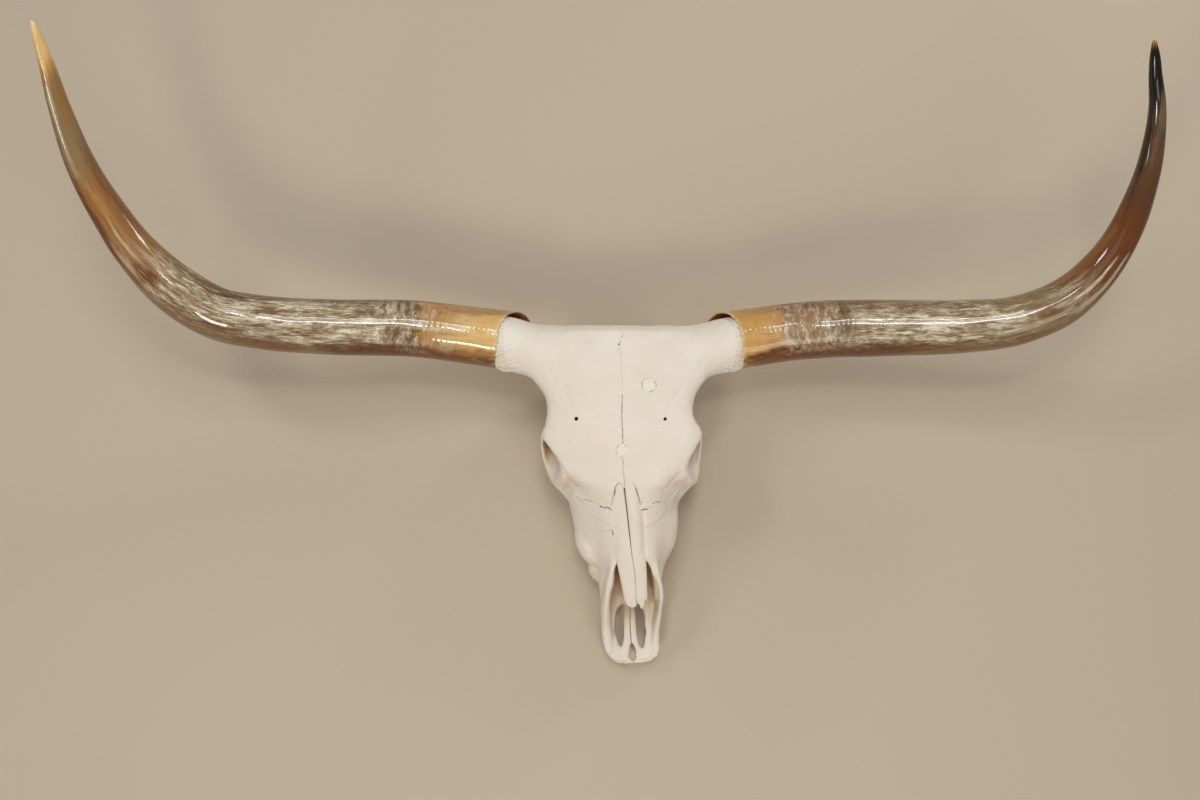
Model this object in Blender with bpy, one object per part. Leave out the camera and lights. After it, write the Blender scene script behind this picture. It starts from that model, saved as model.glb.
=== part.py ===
# Skull of a longhorn steer with its two horn sheaths, life size, at rest forehead up.
#
# Lengths in the tables below are millimetres in the skull's own frame, and every mesh is
# scaled to metres as it is made. X runs across, S runs from the poll edge towards the nose
# (so Y = -S), and Z is the height over the ground that the cheek teeth and the two
# paracondylar processes stand on. Left and right are the animal's own: the nose points
# along -Y, so its left side is +X.

import math

import bmesh
import bpy
import numpy as np
from mathutils import Vector

MM = 0.001

# Driving sizes
PALATE_HEIGHT = 38.0
MUZZLE_DRIFT = 19.0
MUZZLE_TWIST = 0.07
DRIFT_START = 150.0
DRIFT_END = 395.0
DRIFT_HEIGHT = 60.0
TIP_DRIFT = 6.0
TIP_DRIFT_START = 430.0
TIP_DRIFT_END = 510.0
JOINT_GAP = 0.3
FUSE_VOXEL = 2.4
SOFTEN_PASSES = 5
BONE_TRIANGLES = 3200

# Vault of the skull: S, half width, top, underside. The passage has its left and right half
# widths one after the other.
FRONTAL_SECTIONS = (
    (-1, 112, 158, 132),
    (5, 124, 168, 116),
    (22, 132, 174, 106),
    (48, 134, 177, 104),
    (70, 126, 179, 108),
    (90, 113, 180, 116),
    (111, 106, 181, 124),
    (128, 107, 181, 130),
    (145, 109, 180, 133),
    (160, 113, 178, 134),
    (172, 105, 177, 134),
    (190, 90, 175, 132),
    (208, 82, 172, 126),
    (226, 66, 168, 120),
)
BRAINCASE_SECTIONS = (
    (6, 62, 150, 78),
    (14, 86, 158, 58),
    (32, 96, 160, 50),
    (56, 90, 158, 50),
    (84, 74, 156, 58),
    (112, 66, 154, 64),
    (146, 60, 154, 72),
    (190, 56, 160, 80),
    (214, 56, 160, 70),
)
# Face: S, roof height, then x and z of brow, flank, cheek and jaw, then palate height
FACE_SECTIONS = (
    (190, 174, 58, 168, 64, 140, 64, 112, 50, 84, 84),
    (208, 171, 54, 165, 80, 146, 96, 100, 66, 56, 62),
    (222, 169, 47, 163, 78, 138, 97, 97, 69, 38, 46),
    (236, 166, 40, 160, 70, 132, 87, 94, 70, 30, 41),
    (254, 160, 33, 154, 61, 124, 80, 87, 70, 26, PALATE_HEIGHT),
    (286, 151, 28, 144, 56, 112, 78, 74, 65, 24, PALATE_HEIGHT),
    (312, 143, 27, 135, 53, 102, 73, 64, 58, 24, PALATE_HEIGHT),
    (330, 137, 27, 128, 48, 95, 64, 58, 52, 25, PALATE_HEIGHT),
    (346, 131, 28, 121, 42, 90, 54, 56, 47, 28, 37),
    (366, 120, 31, 108, 39, 82, 48, 56, 42, 30, 36),
    (390, 98, 36, 86, 41, 69, 46, 52, 40, 30, 34),
    (400, 90, 38, 78, 41, 64, 45, 50, 38, 31, 34),
)
PASSAGE_SECTIONS = (
    (286, 12, 12, 120, 66),
    (300, 18, 18, 130, 52),
    (332, 18, 20, 127, 47),
    (343, 18.5, 23, 146, 46),
    (354, 22.5, 27, 172, 46),
    (370, 28, 29.5, 172, 45),
    (390, 32.5, 33.5, 172, 44),
    (430, 36, 35, 172, 43),
)
CHOANA_SECTIONS = (
    (110, 20, 70, 20),
    (160, 19, 72, 20),
    (210, 18, 70, 20),
    (240, 16, 64, 30),
)
# Nasal bones: S, the X of the seam between them, the X of the outer edge, crest height.
# They aren't alike: the right one is broader, and its free end is cut off square.
NASAL_LEFT = (
    (222, -2, 4, 167),
    (234, -3, 12.5, 166),
    (256, -3.2, 18, 161),
    (270, -3.2, 19.5, 157),
    (300, -4, 18, 149),
    (340, -3.3, 17, 136),
    (356, -1.5, 17, 130),
    (378, 0, 17.3, 121),
    (396, 1.2, 18, 114),
    (405, 3, 17.5, 110),
    (413, 7, 12.5, 107),
)
NASAL_RIGHT = (
    (228, -3, -5, 166),
    (236, -3, -13, 166),
    (256, -3.2, -22, 161),
    (270, -3.2, -25.5, 157),
    (300, -4, -26.8, 149),
    (340, -3.3, -26.3, 136),
    (356, -1.5, -24, 130),
    (378, 0, -20, 121),
    (396, 1.2, -16.3, 114),
    (405, 2.6, -13, 110),
)
NASALS = {"left": NASAL_LEFT, "right": NASAL_RIGHT}
NASAL_THICKNESS = 6.5
NASAL_DROP = 8.0
NASAL_BREADTH = 22.0
NASAL_CLEFT = 2.2
NASAL_CLEFT_WIDTH = 3.0
NASAL_ROUNDING = 2.2
NASAL_POINTS = 10
NASAL_BLOCK_RINGS = 12
NASAL_BLOCK_POINTS = 5
NASAL_BLOCK_HEIGHT = 40.0
NASAL_BLOCK_OVERRUN = 20.0

# Bars of bone, each an even tapered rod through points X, S, Z with half breadths across
# and upright. They are made on both sides.
ZYGOMATIC_ARCH = (
    (84, 58, 80, 13, 9),
    (95, 84, 84, 8, 9),
    (99, 112, 84, 5, 9),
    (104, 140, 88, 5, 11),
    (109, 164, 94, 6, 14),
    (107, 192, 90, 7, 12),
    (101, 216, 86, 9, 12),
    (89, 233, 82, 9, 12),
    (74, 256, 74, 8, 12),
    (70, 286, 62, 7, 9),
)
POSTORBITAL_BAR = (
    (104, 158, 165, 9, 9),
    (110, 162, 146, 6.5, 8),
    (112, 165, 124, 6, 7.5),
    (111, 166, 100, 6, 9),
)
ORBIT_RIM = (
    (111, 164, 120, 5, 7),
    (113, 170, 105, 5, 6),
    (110, 188, 99, 5, 6),
    (105, 206, 101, 6, 6),
    (98, 216, 111, 7, 7),
    (90, 217, 128, 8, 8),
    (84, 212, 144, 8, 8),
    (81, 204, 158, 7, 6),
)
PREMAXILLA_BAR = (
    (31, 336, 120, 4, 7),
    (34, 360, 101, 4.5, 16),
    (39.5, 386, 78, 4.5, 22),
    (41, 412, 58, 5, 20),
    (39, 438, 43, 5.5, 13),
    (36.5, 462, 34, 7, 8),
    (32, 478, 29, 9, 6.5),
    (22, 488, 27, 9, 5.5),
    (12, 491.5, 26, 7, 5),
    (4, 493.5, 26, 5, 4.5),
    (-2, 494.5, 26, 4, 4),
)
PREMAXILLA_SHELF = (
    (24, 396, 37, 18, 6),
    (28, 411, 37, 13, 5.5),
    (31.5, 426, 36, 10, 5),
    (32.5, 450, 33, 8.5, 5),
    (27, 478, 28, 10.5, 5.5),
)
PALATINE_PRONG = (
    (6, 384, 39, 5.2, 5),
    (5, 408, 39, 4.8, 4.2),
    (4.9, 440, 36, 4.8, 4.2),
    (7.6, 462, 32, 5, 4.5),
    (13.5, 482, 27, 7.5, 5),
)
PTERYGOID_PLATE = (
    (26, 128, 66, 6, 10),
    (27, 160, 56, 4.5, 20),
    (28, 190, 46, 5, 22),
    (32, 212, 44, 7, 20),
)
SKULL_BASE = (
    (0, 16, 62, 17, 9),
    (0, 50, 60, 20, 10),
    (0, 100, 70, 17, 12),
    (0, 160, 82, 14, 14),
)
PARACONDYLAR_PROCESS = (
    (66, 30, 72, 15, 14),
    (64, 36, 44, 9, 12),
    (61, 42, 20, 6.5, 9),
    (59, 46, -6, 5.5, 7),
)
HORN_ROOT = (
    (84, 34, 143, 34, 30),
    (118, 34, 142, 36, 34),
    (146, 28, 141, 37.5, 36),
    (170, 22, 140, 37.5, 37),
    (190, 18, 140, 37, 37),
)

# Rounded masses: X, S, Z, then radii along X, S, Z. Made on both sides.
CONDYLE = ((29, 10, 54), (17, 15, 21))
MASTOID = ((82, 34, 84), (20, 20, 30))
JAW_JOINT = ((80, 82, 78), (22, 17, 11))
EAR_BULLA = ((44, 70, 54), (12, 19, 14))
ORBIT_CUP = ((82, 192, 120), (30, 34, 36))
CHEEK_SWELLING = ((50, 318, 58), (30, 48, 30))
FRONT_ALVEOLUS = ((55, 350, 38), (11, 14, 13))

# Hollows: the same numbers
EYE_SOCKET = ((114, 187, 136), (34, 26, 32))
EYE_DEPTH = ((82, 172, 112), (15, 19, 17))
FORAMEN_MAGNUM = ((0, 0, 78), (20, 34, 17))
EAR_OPENING = ((104, 62, 70), (14, 5, 5))

# The small round canals through the forehead: points, then half breadths
SUPRAORBITAL_CANAL = (
    (64.5, 133, 190, 3, 3),
    (65.5, 136, 164, 2.6, 2.6),
)
CANAL_SIDES = 8

# Cheek teeth from front to back: length along the row, breadth, lobes
TEETH = (
    (14, 13, 1),
    (17, 16, 1),
    (19, 19, 1),
    (24, 22, 2),
    (28, 23, 2),
    (34, 21, 2),
)
TOOTH_ROW_FRONT = 343.0
TOOTH_ROW_OUTER_FRONT = 47.0
TOOTH_ROW_OUTER_BACK = 69.0
TOOTH_CREVICE = 1.4
TOOTH_ROOT_HEIGHT = 36.0
TOOTH_RINGS = ((-3, 0.96), (10, 1.0), (TOOTH_ROOT_HEIGHT, 0.9))
TOOTH_SQUARENESS = 0.6
TOOTH_PINCH = 0.12
LOBE_POINTS = 8

# Sutures: where a slanted plane across the skull meets the ground, and its lean
PREMAXILLA_SUTURE = (408, -0.5)
MAXILLA_SUTURE = (172, 0.85)

# Where the nasal bones come free of the face, and how far the cut around them then keeps
# from their sides and their underside
NASAL_FREE = (338, 352, 372)
NASAL_FREE_SIDE = (0, 1.4, 5)
NASAL_FREE_BELOW = (0, 6, 6)

# The blocks that part the face's bones: how far down, up, nose-ward and out they go
BLOCK_FOOT = -20.0
BLOCK_TOP = 220.0
BLOCK_RUN = 340.0
BLOCK_WIDTH = 200.0
BLOCK_RINGS = 11
BLOCK_POINTS = 4

# Horn sheaths: X, S, radius. The rise towards the tip is a formula.
HORN_RIGHT = (
    (-177, 17, 43),
    (-300, 2, 42.5),
    (-424, 3, 41),
    (-513, 1, 39.5),
    (-578, -9, 38),
    (-626, -36, 36.5),
    (-676, -85, 30),
    (-707, -133, 25.5),
    (-734, -190, 21),
    (-750, -252, 16),
    (-759, -315, 8.8),
    (-764, -346, 1.5),
)
HORN_LEFT = (
    (177, 17, 43),
    (270, 4, 43.5),
    (412, 3, 42),
    (496, 5, 39.5),
    (579, -1, 36),
    (631, -22, 33),
    (685, -78, 26),
    (712, -144, 20.5),
    (720, -210, 15),
    (713, -262, 11),
    (702, -291, 8.5),
    (689, -328, 1.5),
)
HORN_BASE_HEIGHT = 140.0
HORN_RISE_SLOPE = 20.0
HORN_RISE_CURL = 265.0
HORN_CURL_POWER = 2.2
HORN_RINGS = 22
HORN_SIDES = 12
HORNS = {"left": HORN_LEFT, "right": HORN_RIGHT}
SIDES = ((1, "left"), (-1, "right"))
LIP_REACH = 34.0
LIP_ANGLE = math.radians(35)
LIP_FADE = 110.0
MOUTH_WALL = 2.5
MOUTH_HOLLOW = 60.0
CORE_LENGTH = 250.0
CORE_RADIUS = 36.0
CORE_TIP = 6.0
CORE_TAPER = 1.8
CORE_SIDES = 12
CORE_CLEARANCE = 0.4
ROOT_CLEARANCE = 1.6


def through(rows, count, leading=3):
    # Rows at even steps along a smooth curve through the given ones. The leading columns
    # are a place, whose distances set the pace.
    rows = np.array(rows, float)
    gaps = np.linalg.norm(np.diff(rows[:, :leading], axis=0), axis=1)
    knots = np.concatenate([[0.0], np.cumsum(gaps)])
    slopes = np.gradient(rows, knots, axis=0)
    stops = np.linspace(0.0, knots[-1], count)
    span = np.clip(np.searchsorted(knots, stops) - 1, 0, len(gaps) - 1)
    width = gaps[span][:, None]
    t = (stops - knots[span])[:, None] / width
    rise = slopes[span] * width
    fall = slopes[span + 1] * width
    near = (2 * t**3 - 3 * t**2 + 1) * rows[span] + (t**3 - 2 * t**2 + t) * rise
    return near + (3 * t**2 - 2 * t**3) * rows[span + 1] + (t**3 - t**2) * fall


def place(x, s, z):
    return Vector((x, -s, z)) * MM


def add_loft(shells, rings):
    # One closed skin over rings of points, with both ends filled.
    loops = [[shells.verts.new(point) for point in ring] for ring in rings]
    faces = [shells.faces.new(loops[0]), shells.faces.new(loops[-1])]
    for near, far in zip(loops, loops[1:]):
        for k in range(len(near)):
            faces.append(shells.faces.new((near[k - 1], near[k], far[k], far[k - 1])))
    bmesh.ops.recalc_face_normals(shells, faces=faces)


def add_slab(shells, sections, power=3.2, sides=40):
    # A rounded box that changes along S, from half width, top and underside.
    rings = []
    for row in through(sections, 3 * len(sections), leading=1):
        s, *halves, top, under = row
        ring = []
        for k in range(sides):
            angle = 2 * math.pi * k / sides
            across = math.copysign(abs(math.cos(angle)) ** (2 / power), math.cos(angle))
            upright = math.copysign(abs(math.sin(angle)) ** (2 / power), math.sin(angle))
            half = halves[0] if across > 0 else halves[-1]
            middle = (top + under) / 2
            ring.append(place(half * across, s, middle + (top - under) / 2 * upright))
        rings.append(ring)
    add_loft(shells, rings)


def add_face(shells, sections, steps=5):
    rings = []
    for row in through(sections, 3 * len(sections), leading=1):
        s, roof, brow_x, brow_z, flank_x, flank_z, cheek_x, cheek_z, jaw_x, jaw_z, palate = row
        half = [
            (0, roof),
            (brow_x, brow_z),
            (flank_x, flank_z),
            (cheek_x, cheek_z),
            (jaw_x, jaw_z),
            (jaw_x - 16, min(jaw_z + 2, palate)),
            (0.4 * jaw_x, palate),
            (0, palate),
        ]
        whole = half + [(-x, z) for x, z in half[-2:0:-1]]
        wrapped = whole[-2:] + whole + whole[:3]
        curve = through(wrapped, steps * (len(wrapped) - 1) + 1, leading=2)
        inner = curve[2 * steps : -2 * steps - 1]
        rings.append([place(x, s, z) for x, z in inner])
    add_loft(shells, rings)


def rings_along(points, widths, heights, sides):
    # Rings square to a path. Their widths lie level, and their heights are square to that.
    rings = []
    for k, point in enumerate(points):
        ahead = (points[min(k + 1, len(points) - 1)] - points[max(k - 1, 0)]).normalized()
        level = ahead.cross(Vector((0, 0, 1)))
        if level.length < 0.3:
            level = Vector((1, 0, 0)) - ahead * ahead.x
        level.normalize()
        upright = level.cross(ahead)
        ring = []
        for j in range(sides):
            angle = 2 * math.pi * j / sides
            out = level * widths[k] * math.cos(angle) + upright * heights[k] * math.sin(angle)
            ring.append(point + out)
        rings.append(ring)
    return rings


def add_rod(shells, path, side, sides=20, grow=0.0):
    rows = through(path, 4 * len(path))
    points = [place(side * x, s, z) for x, s, z in rows[:, :3]]
    if grow:
        points[0] += (points[0] - points[1]).normalized() * grow * MM
        points[-1] += (points[-1] - points[-2]).normalized() * grow * MM
    add_loft(shells, rings_along(points, (rows[:, 3] + grow) * MM, (rows[:, 4] + grow) * MM, sides))


def add_ball(shells, ball, side):
    (x, s, z), (across, along, upright) = ball
    made = bmesh.ops.create_icosphere(shells, subdivisions=3, radius=1.0)["verts"]
    for vert in made:
        x_out, y_out, z_out = vert.co
        vert.co = place(side * x + across * x_out, s - along * y_out, z + upright * z_out)


def nasal_drop(out):
    # How far a nasal bone's upper side falls away, by the distance out from its seam.
    return NASAL_DROP * (abs(out) / NASAL_BREADTH) ** NASAL_ROUNDING


def add_nasal(shells, sections):
    rings = []
    for s, seam, edge, crest in through(sections, 3 * len(sections), leading=1):
        top = []
        for out in np.linspace(0, edge - seam, NASAL_POINTS):
            cleft = NASAL_CLEFT * math.exp(-((out / NASAL_CLEFT_WIDTH) ** 2))
            top.append((seam + out, crest - nasal_drop(out) - cleft))
        under = [(x, z - NASAL_THICKNESS) for x, z in reversed(top)]
        rings.append([place(x, s, z) for x, z in top + under])
    add_loft(shells, rings)


def eased(value, start, end):
    share = min(1.0, max(0.0, (value - start) / (end - start)))
    return share * share * (3 - 2 * share)


def drift(y, z):
    # The muzzle leans towards the left side, its tip a little more, and it turns slightly
    # about its own length.
    s = -y / MM
    muzzle = MUZZLE_DRIFT * MM + MUZZLE_TWIST * (z - DRIFT_HEIGHT * MM)
    tip = TIP_DRIFT * MM * eased(s, TIP_DRIFT_START, TIP_DRIFT_END)
    return eased(s, DRIFT_START, DRIFT_END) * muzzle + tip


def lean(verts):
    for vert in verts:
        vert.co.x += drift(vert.co.y, vert.co.z)


def made_object(name, shells):
    bmesh.ops.triangulate(shells, faces=shells.faces)
    mesh = bpy.data.meshes.new(name)
    shells.to_mesh(mesh)
    shells.free()
    piece = bpy.data.objects.new(name, mesh)
    bpy.context.scene.collection.objects.link(piece)
    return piece


def bake(piece):
    # The modifiers' result becomes the piece's own mesh.
    graph = bpy.context.evaluated_depsgraph_get()
    result = bpy.data.meshes.new_from_object(piece.evaluated_get(graph))
    old = piece.data
    piece.modifiers.clear()
    piece.data = result
    bpy.data.meshes.remove(old)
    result.name = piece.name


def fuse(piece, passes):
    skin = piece.modifiers.new("fuse", "REMESH")
    skin.mode = "VOXEL"
    skin.voxel_size = FUSE_VOXEL * MM
    if passes:
        soft = piece.modifiers.new("soften", "SMOOTH")
        soft.iterations = passes
        soft.factor = 0.5
    bake(piece)


def combine(piece, other, operation):
    cut = piece.modifiers.new(operation.lower(), "BOOLEAN")
    cut.operation = operation
    cut.object = other
    bake(piece)


def copy_of(piece, name):
    twin = bpy.data.objects.new(name, piece.data.copy())
    bpy.context.scene.collection.objects.link(twin)
    return twin


def discard(piece):
    bpy.data.objects.remove(piece, do_unlink=True)


def keep_largest(piece):
    # Crumbs that a cut leaves beside the bone are dropped.
    body = bmesh.new()
    body.from_mesh(piece.data)
    unseen = set(body.verts)
    groups = []
    while unseen:
        front = [unseen.pop()]
        group = set(front)
        while front:
            vert = front.pop()
            for edge in vert.link_edges:
                other = edge.other_vert(vert)
                if other in unseen:
                    unseen.discard(other)
                    group.add(other)
                    front.append(other)
        groups.append(group)
    groups.sort(key=len)
    for group in groups[:-1]:
        bmesh.ops.delete(body, geom=list(group), context="VERTS")
    body.to_mesh(piece.data)
    body.free()


def bone_mass():
    shells = bmesh.new()
    add_slab(shells, FRONTAL_SECTIONS)
    add_slab(shells, BRAINCASE_SECTIONS, power=2.4)
    add_face(shells, FACE_SECTIONS)
    add_rod(shells, SKULL_BASE, 1)
    for side in (-1, 1):
        for ball in (MASTOID, ORBIT_CUP):
            add_ball(shells, ball, side)
    for ball in (CHEEK_SWELLING, FRONT_ALVEOLUS):
        add_ball(shells, ball, -1)
    mass = made_object("mass", shells)
    fuse(mass, 0)

    hollows = bmesh.new()
    add_slab(hollows, PASSAGE_SECTIONS, power=2.6)
    add_slab(hollows, CHOANA_SECTIONS, power=2.6)
    for side in (-1, 1):
        add_ball(hollows, EYE_SOCKET, side)
        add_ball(hollows, EYE_DEPTH, side)
    hollow = made_object("hollow", hollows)
    fuse(hollow, 0)
    combine(mass, hollow, "DIFFERENCE")
    discard(hollow)
    return mass


def add_bars(mass):
    shells = bmesh.new()
    shells.from_mesh(mass.data)
    for sections in NASALS.values():
        add_nasal(shells, sections)
    bars = (
        ZYGOMATIC_ARCH,
        POSTORBITAL_BAR,
        ORBIT_RIM,
        PREMAXILLA_BAR,
        PREMAXILLA_SHELF,
        PALATINE_PRONG,
        PTERYGOID_PLATE,
        PARACONDYLAR_PROCESS,
        HORN_ROOT,
    )
    for side in (-1, 1):
        for bar in bars:
            add_rod(shells, bar, side)
        for ball in (CONDYLE, JAW_JOINT, EAR_BULLA):
            add_ball(shells, ball, side)
    whole = made_object("whole", shells)
    discard(mass)
    fuse(whole, 0)

    pits = bmesh.new()
    add_ball(pits, FORAMEN_MAGNUM, 1)
    for side in (-1, 1):
        add_ball(pits, EAR_OPENING, side)
    pit = made_object("pit", pits)
    combine(whole, pit, "DIFFERENCE")
    discard(pit)
    fuse(whole, SOFTEN_PASSES)
    keep_largest(whole)
    lean(whole.data.vertices)
    return whole


def thin_out(piece, triangles):
    fold = piece.modifiers.new("thin", "DECIMATE")
    piece.data.calc_loop_triangles()
    fold.ratio = triangles / len(piece.data.loop_triangles)
    fold.use_collapse_triangulate = True
    bake(piece)


def add_prism(shells, outline, near, far):
    # An outline of S and Z, drawn out across from one X to another.
    rings = [[place(x, s, z) for s, z in outline] for x in (near, far)]
    add_loft(shells, rings)


def add_nasal_block(shells, sections, near, side, grow):
    # What is cut out for a nasal bone: its outline from above, down to its underside.
    rings = []
    for row in through(sections, NASAL_BLOCK_RINGS, leading=1):
        s, seam, edge, crest = row
        inner = seam + side * (near - grow)
        outer = edge + side * (grow + np.interp(s, NASAL_FREE, NASAL_FREE_SIDE))
        below = NASAL_THICKNESS + grow + np.interp(s, NASAL_FREE, NASAL_FREE_BELOW)
        ring = [(inner, crest + NASAL_BLOCK_HEIGHT), (outer, crest + NASAL_BLOCK_HEIGHT)]
        for k in range(NASAL_BLOCK_POINTS):
            x = outer + (inner - outer) * k / (NASAL_BLOCK_POINTS - 1)
            ring.append((x, crest - nasal_drop(x - seam) - below))
        rings.append([place(x, s, z) for x, z in ring])
    rings[0] = [point - place(0, grow, 0) for point in rings[0]]
    rings[-1] = [point + place(0, NASAL_BLOCK_OVERRUN, 0) for point in rings[-1]]
    add_loft(shells, rings)
    lean(shells.verts)


def add_nose_block(shells, suture, near, side, grow):
    # All that lies nose-ward of a slanted suture plane, on one side of the midline.
    ground_s, slope = suture
    heights = np.linspace(BLOCK_FOOT, BLOCK_TOP, BLOCK_POINTS)
    rings = []
    for run in np.linspace(0, BLOCK_RUN, BLOCK_RINGS):
        inner = [place(side * (near - grow), ground_s + slope * z + run - grow, z) for z in heights]
        corners = (BLOCK_TOP, BLOCK_FOOT)
        outer = [place(side * BLOCK_WIDTH, ground_s + slope * z + run - grow, z) for z in corners]
        rings.append(inner + outer)
    add_loft(shells, rings)
    lean(shells.verts)


def taken_out(bone, name, inner, outer):
    # The bone inside one block, as a piece of its own. The rest of the bone keeps clear of a
    # second block, which is larger by the joint's gap.
    piece = copy_of(bone, name)
    keep = made_object("keep", inner)
    combine(piece, keep, "INTERSECT")
    discard(keep)
    away = made_object("away", outer)
    combine(bone, away, "DIFFERENCE")
    discard(away)
    keep_largest(piece)
    keep_largest(bone)
    return piece


def part_bones(bone):
    nodes = {}
    for side, word in SIDES:
        inner = bmesh.new()
        outer = bmesh.new()
        add_nasal_block(inner, NASALS[word], JOINT_GAP / 2, side, 0)
        add_nasal_block(outer, NASALS[word], JOINT_GAP / 2, side, JOINT_GAP)
        nodes["nasal_" + word] = taken_out(bone, "nasal_" + word, inner, outer)
    for name, suture in (("premaxilla_", PREMAXILLA_SUTURE), ("maxilla_", MAXILLA_SUTURE)):
        for side, word in SIDES:
            inner = bmesh.new()
            outer = bmesh.new()
            add_nose_block(inner, suture, JOINT_GAP / 2, side, 0)
            add_nose_block(outer, suture, JOINT_GAP / 2, side, JOINT_GAP)
            nodes[name + word] = taken_out(bone, name + word, inner, outer)
    bone.name = "cranium"
    nodes["cranium"] = bone
    return nodes


def add_teeth(shells, side):
    s = TOOTH_ROW_FRONT
    length = sum(tooth[0] for tooth in TEETH)
    for along, breadth, lobes in TEETH:
        share = (TOOTH_ROW_FRONT - s + along / 2) / length
        outer = TOOTH_ROW_OUTER_FRONT + (TOOTH_ROW_OUTER_BACK - TOOTH_ROW_OUTER_FRONT) * share
        rings = []
        for height, swell in TOOTH_RINGS:
            ring = []
            for k in range(LOBE_POINTS * lobes):
                angle = 2 * math.pi * k / (LOBE_POINTS * lobes)
                waist = math.cos(angle) ** 8
                reach_s = (along - TOOTH_CREVICE) / 2 * swell
                reach_x = breadth / 2 * swell * (1 - TOOTH_PINCH * (lobes - 1) * waist)
                across = math.copysign(abs(math.cos(angle)) ** TOOTH_SQUARENESS, math.cos(angle))
                forward = math.copysign(abs(math.sin(angle)) ** TOOTH_SQUARENESS, math.sin(angle))
                x = outer - breadth / 2 + reach_x * across
                ring.append(place(side * x, s - along / 2 + reach_s * forward, height))
            rings.append(ring)
        add_loft(shells, rings)
        s -= along
    lean(shells.verts)


def horn_line(stations):
    # Centre points, radii and run from the mouth, in metres, at even steps.
    rows = through(stations, HORN_RINGS, leading=2)
    steps = np.hypot(*np.diff(rows[:, :2], axis=0).T)
    share = np.concatenate([[0.0], np.cumsum(steps)]) / steps.sum()
    heights = HORN_BASE_HEIGHT + HORN_RISE_SLOPE * share + HORN_RISE_CURL * share**HORN_CURL_POWER
    points = [place(x, s, z) for (x, s), z in zip(rows[:, :2], heights)]
    strides = [0.0] + [(b - a).length for a, b in zip(points, points[1:])]
    return points, rows[:, 2] * MM, np.cumsum(strides)


def add_core(shells, stations, grow):
    # The bony core inside a sheath.
    points, radii, run = horn_line(stations)
    chosen = [k for k in range(HORN_RINGS) if run[k] < CORE_LENGTH * MM]
    line = [points[k].copy() for k in chosen]
    line[0] += (line[0] - line[1]).normalized() * grow * MM
    line[-1] += (line[-1] - line[-2]).normalized() * grow * MM
    taper = [1 - (run[k] / (CORE_LENGTH * MM)) ** CORE_TAPER for k in chosen]
    wide = [(CORE_TIP + (CORE_RADIUS - CORE_TIP) * share + grow) * MM for share in taper]
    add_loft(shells, rings_along(line, wide, wide, CORE_SIDES))


def draw_lip(rings, points, run, side):
    # The rim isn't even: behind and below the bone it reaches further in.
    for ring, middle, gone in zip(rings, points, run):
        fade = max(0.0, 1 - gone / (LIP_FADE * MM)) ** 2
        for point in ring:
            out = (point - middle).normalized()
            towards = out.y * math.cos(LIP_ANGLE) - out.z * math.sin(LIP_ANGLE)
            point.x -= side * LIP_REACH * MM * max(0.0, towards) ** 2 * fade


def horn(name, stations, side):
    points, radii, run = horn_line(stations)
    rings = rings_along(points, radii, radii, HORN_SIDES)
    draw_lip(rings, points, run, side)
    shells = bmesh.new()
    add_loft(shells, rings)
    sheath = made_object(name, shells)

    cone = bmesh.new()
    hollow = [max(radius - MOUTH_WALL * MM - 0.16 * gone, 0.02) for radius, gone in zip(radii, run)]
    kept = [k for k in range(HORN_RINGS) if run[k] < MOUTH_HOLLOW * MM]
    inside = rings_along([points[k] for k in kept], hollow, hollow, HORN_SIDES)
    draw_lip(inside, points, run, side)
    inward = points[0] - points[1]
    mouth = [point + inward * 0.4 for point in inside[0]]
    add_loft(cone, [mouth] + inside)
    opening = made_object("opening", cone)
    combine(sheath, opening, "DIFFERENCE")
    discard(opening)

    root = bmesh.new()
    add_rod(root, HORN_ROOT, side, HORN_SIDES, ROOT_CLEARANCE)
    core = bmesh.new()
    add_core(core, stations, CORE_CLEARANCE)
    for shape in (root, core):
        room = made_object("room", shape)
        combine(sheath, room, "DIFFERENCE")
        discard(room)
    keep_largest(sheath)
    return sheath


def finish(piece, material, parent):
    piece.data.materials.clear()
    piece.data.materials.append(material)
    piece.data.shade_smooth()
    piece.data.set_sharp_from_angle(angle=math.radians(50))
    piece.parent = parent


def finish_material(name, colour, roughness):
    material = bpy.data.materials.new(name)
    material.use_nodes = True
    shader = material.node_tree.nodes["Principled BSDF"]
    shader.inputs["Base Color"].default_value = (*colour, 1.0)
    shader.inputs["Roughness"].default_value = roughness
    shader.inputs["Metallic"].default_value = 0.0
    return material


for leftover in list(bpy.data.objects):
    bpy.data.objects.remove(leftover, do_unlink=True)

bone = add_bars(bone_mass())
thin_out(bone, BONE_TRIANGLES)
nodes = part_bones(bone)

for side, word in SIDES:
    crowns = bmesh.new()
    add_teeth(crowns, side)
    row = made_object("row", crowns)
    combine(nodes["maxilla_" + word], row, "UNION")
    discard(row)
    core = bmesh.new()
    add_core(core, HORNS[word], 0.0)
    peg = made_object("peg", core)
    combine(nodes["cranium"], peg, "UNION")
    discard(peg)

canals = bmesh.new()
for side, word in SIDES:
    add_rod(canals, SUPRAORBITAL_CANAL, side, CANAL_SIDES)
canal = made_object("canal", canals)
combine(nodes["cranium"], canal, "DIFFERENCE")
discard(canal)

floor = bmesh.new()
add_prism(floor, ((-60, -60), (640, -60), (640, 0), (-60, 0)), -200, 200)
ground = made_object("ground", floor)
for name in ("cranium", "maxilla_left", "maxilla_right"):
    combine(nodes[name], ground, "DIFFERENCE")
discard(ground)

for side, word in SIDES:
    nodes["horn_" + word] = horn("horn_" + word, HORNS[word], side)

skull = bpy.data.objects.new("skull", None)
bpy.context.scene.collection.objects.link(skull)
bleached_bone = finish_material("bleached_bone", (0.76, 0.69, 0.57), 0.62)
horn_keratin = finish_material("horn_keratin", (0.36, 0.22, 0.10), 0.28)
for name, piece in nodes.items():
    finish(piece, horn_keratin if name.startswith("horn_") else bleached_bone, skull)

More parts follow.
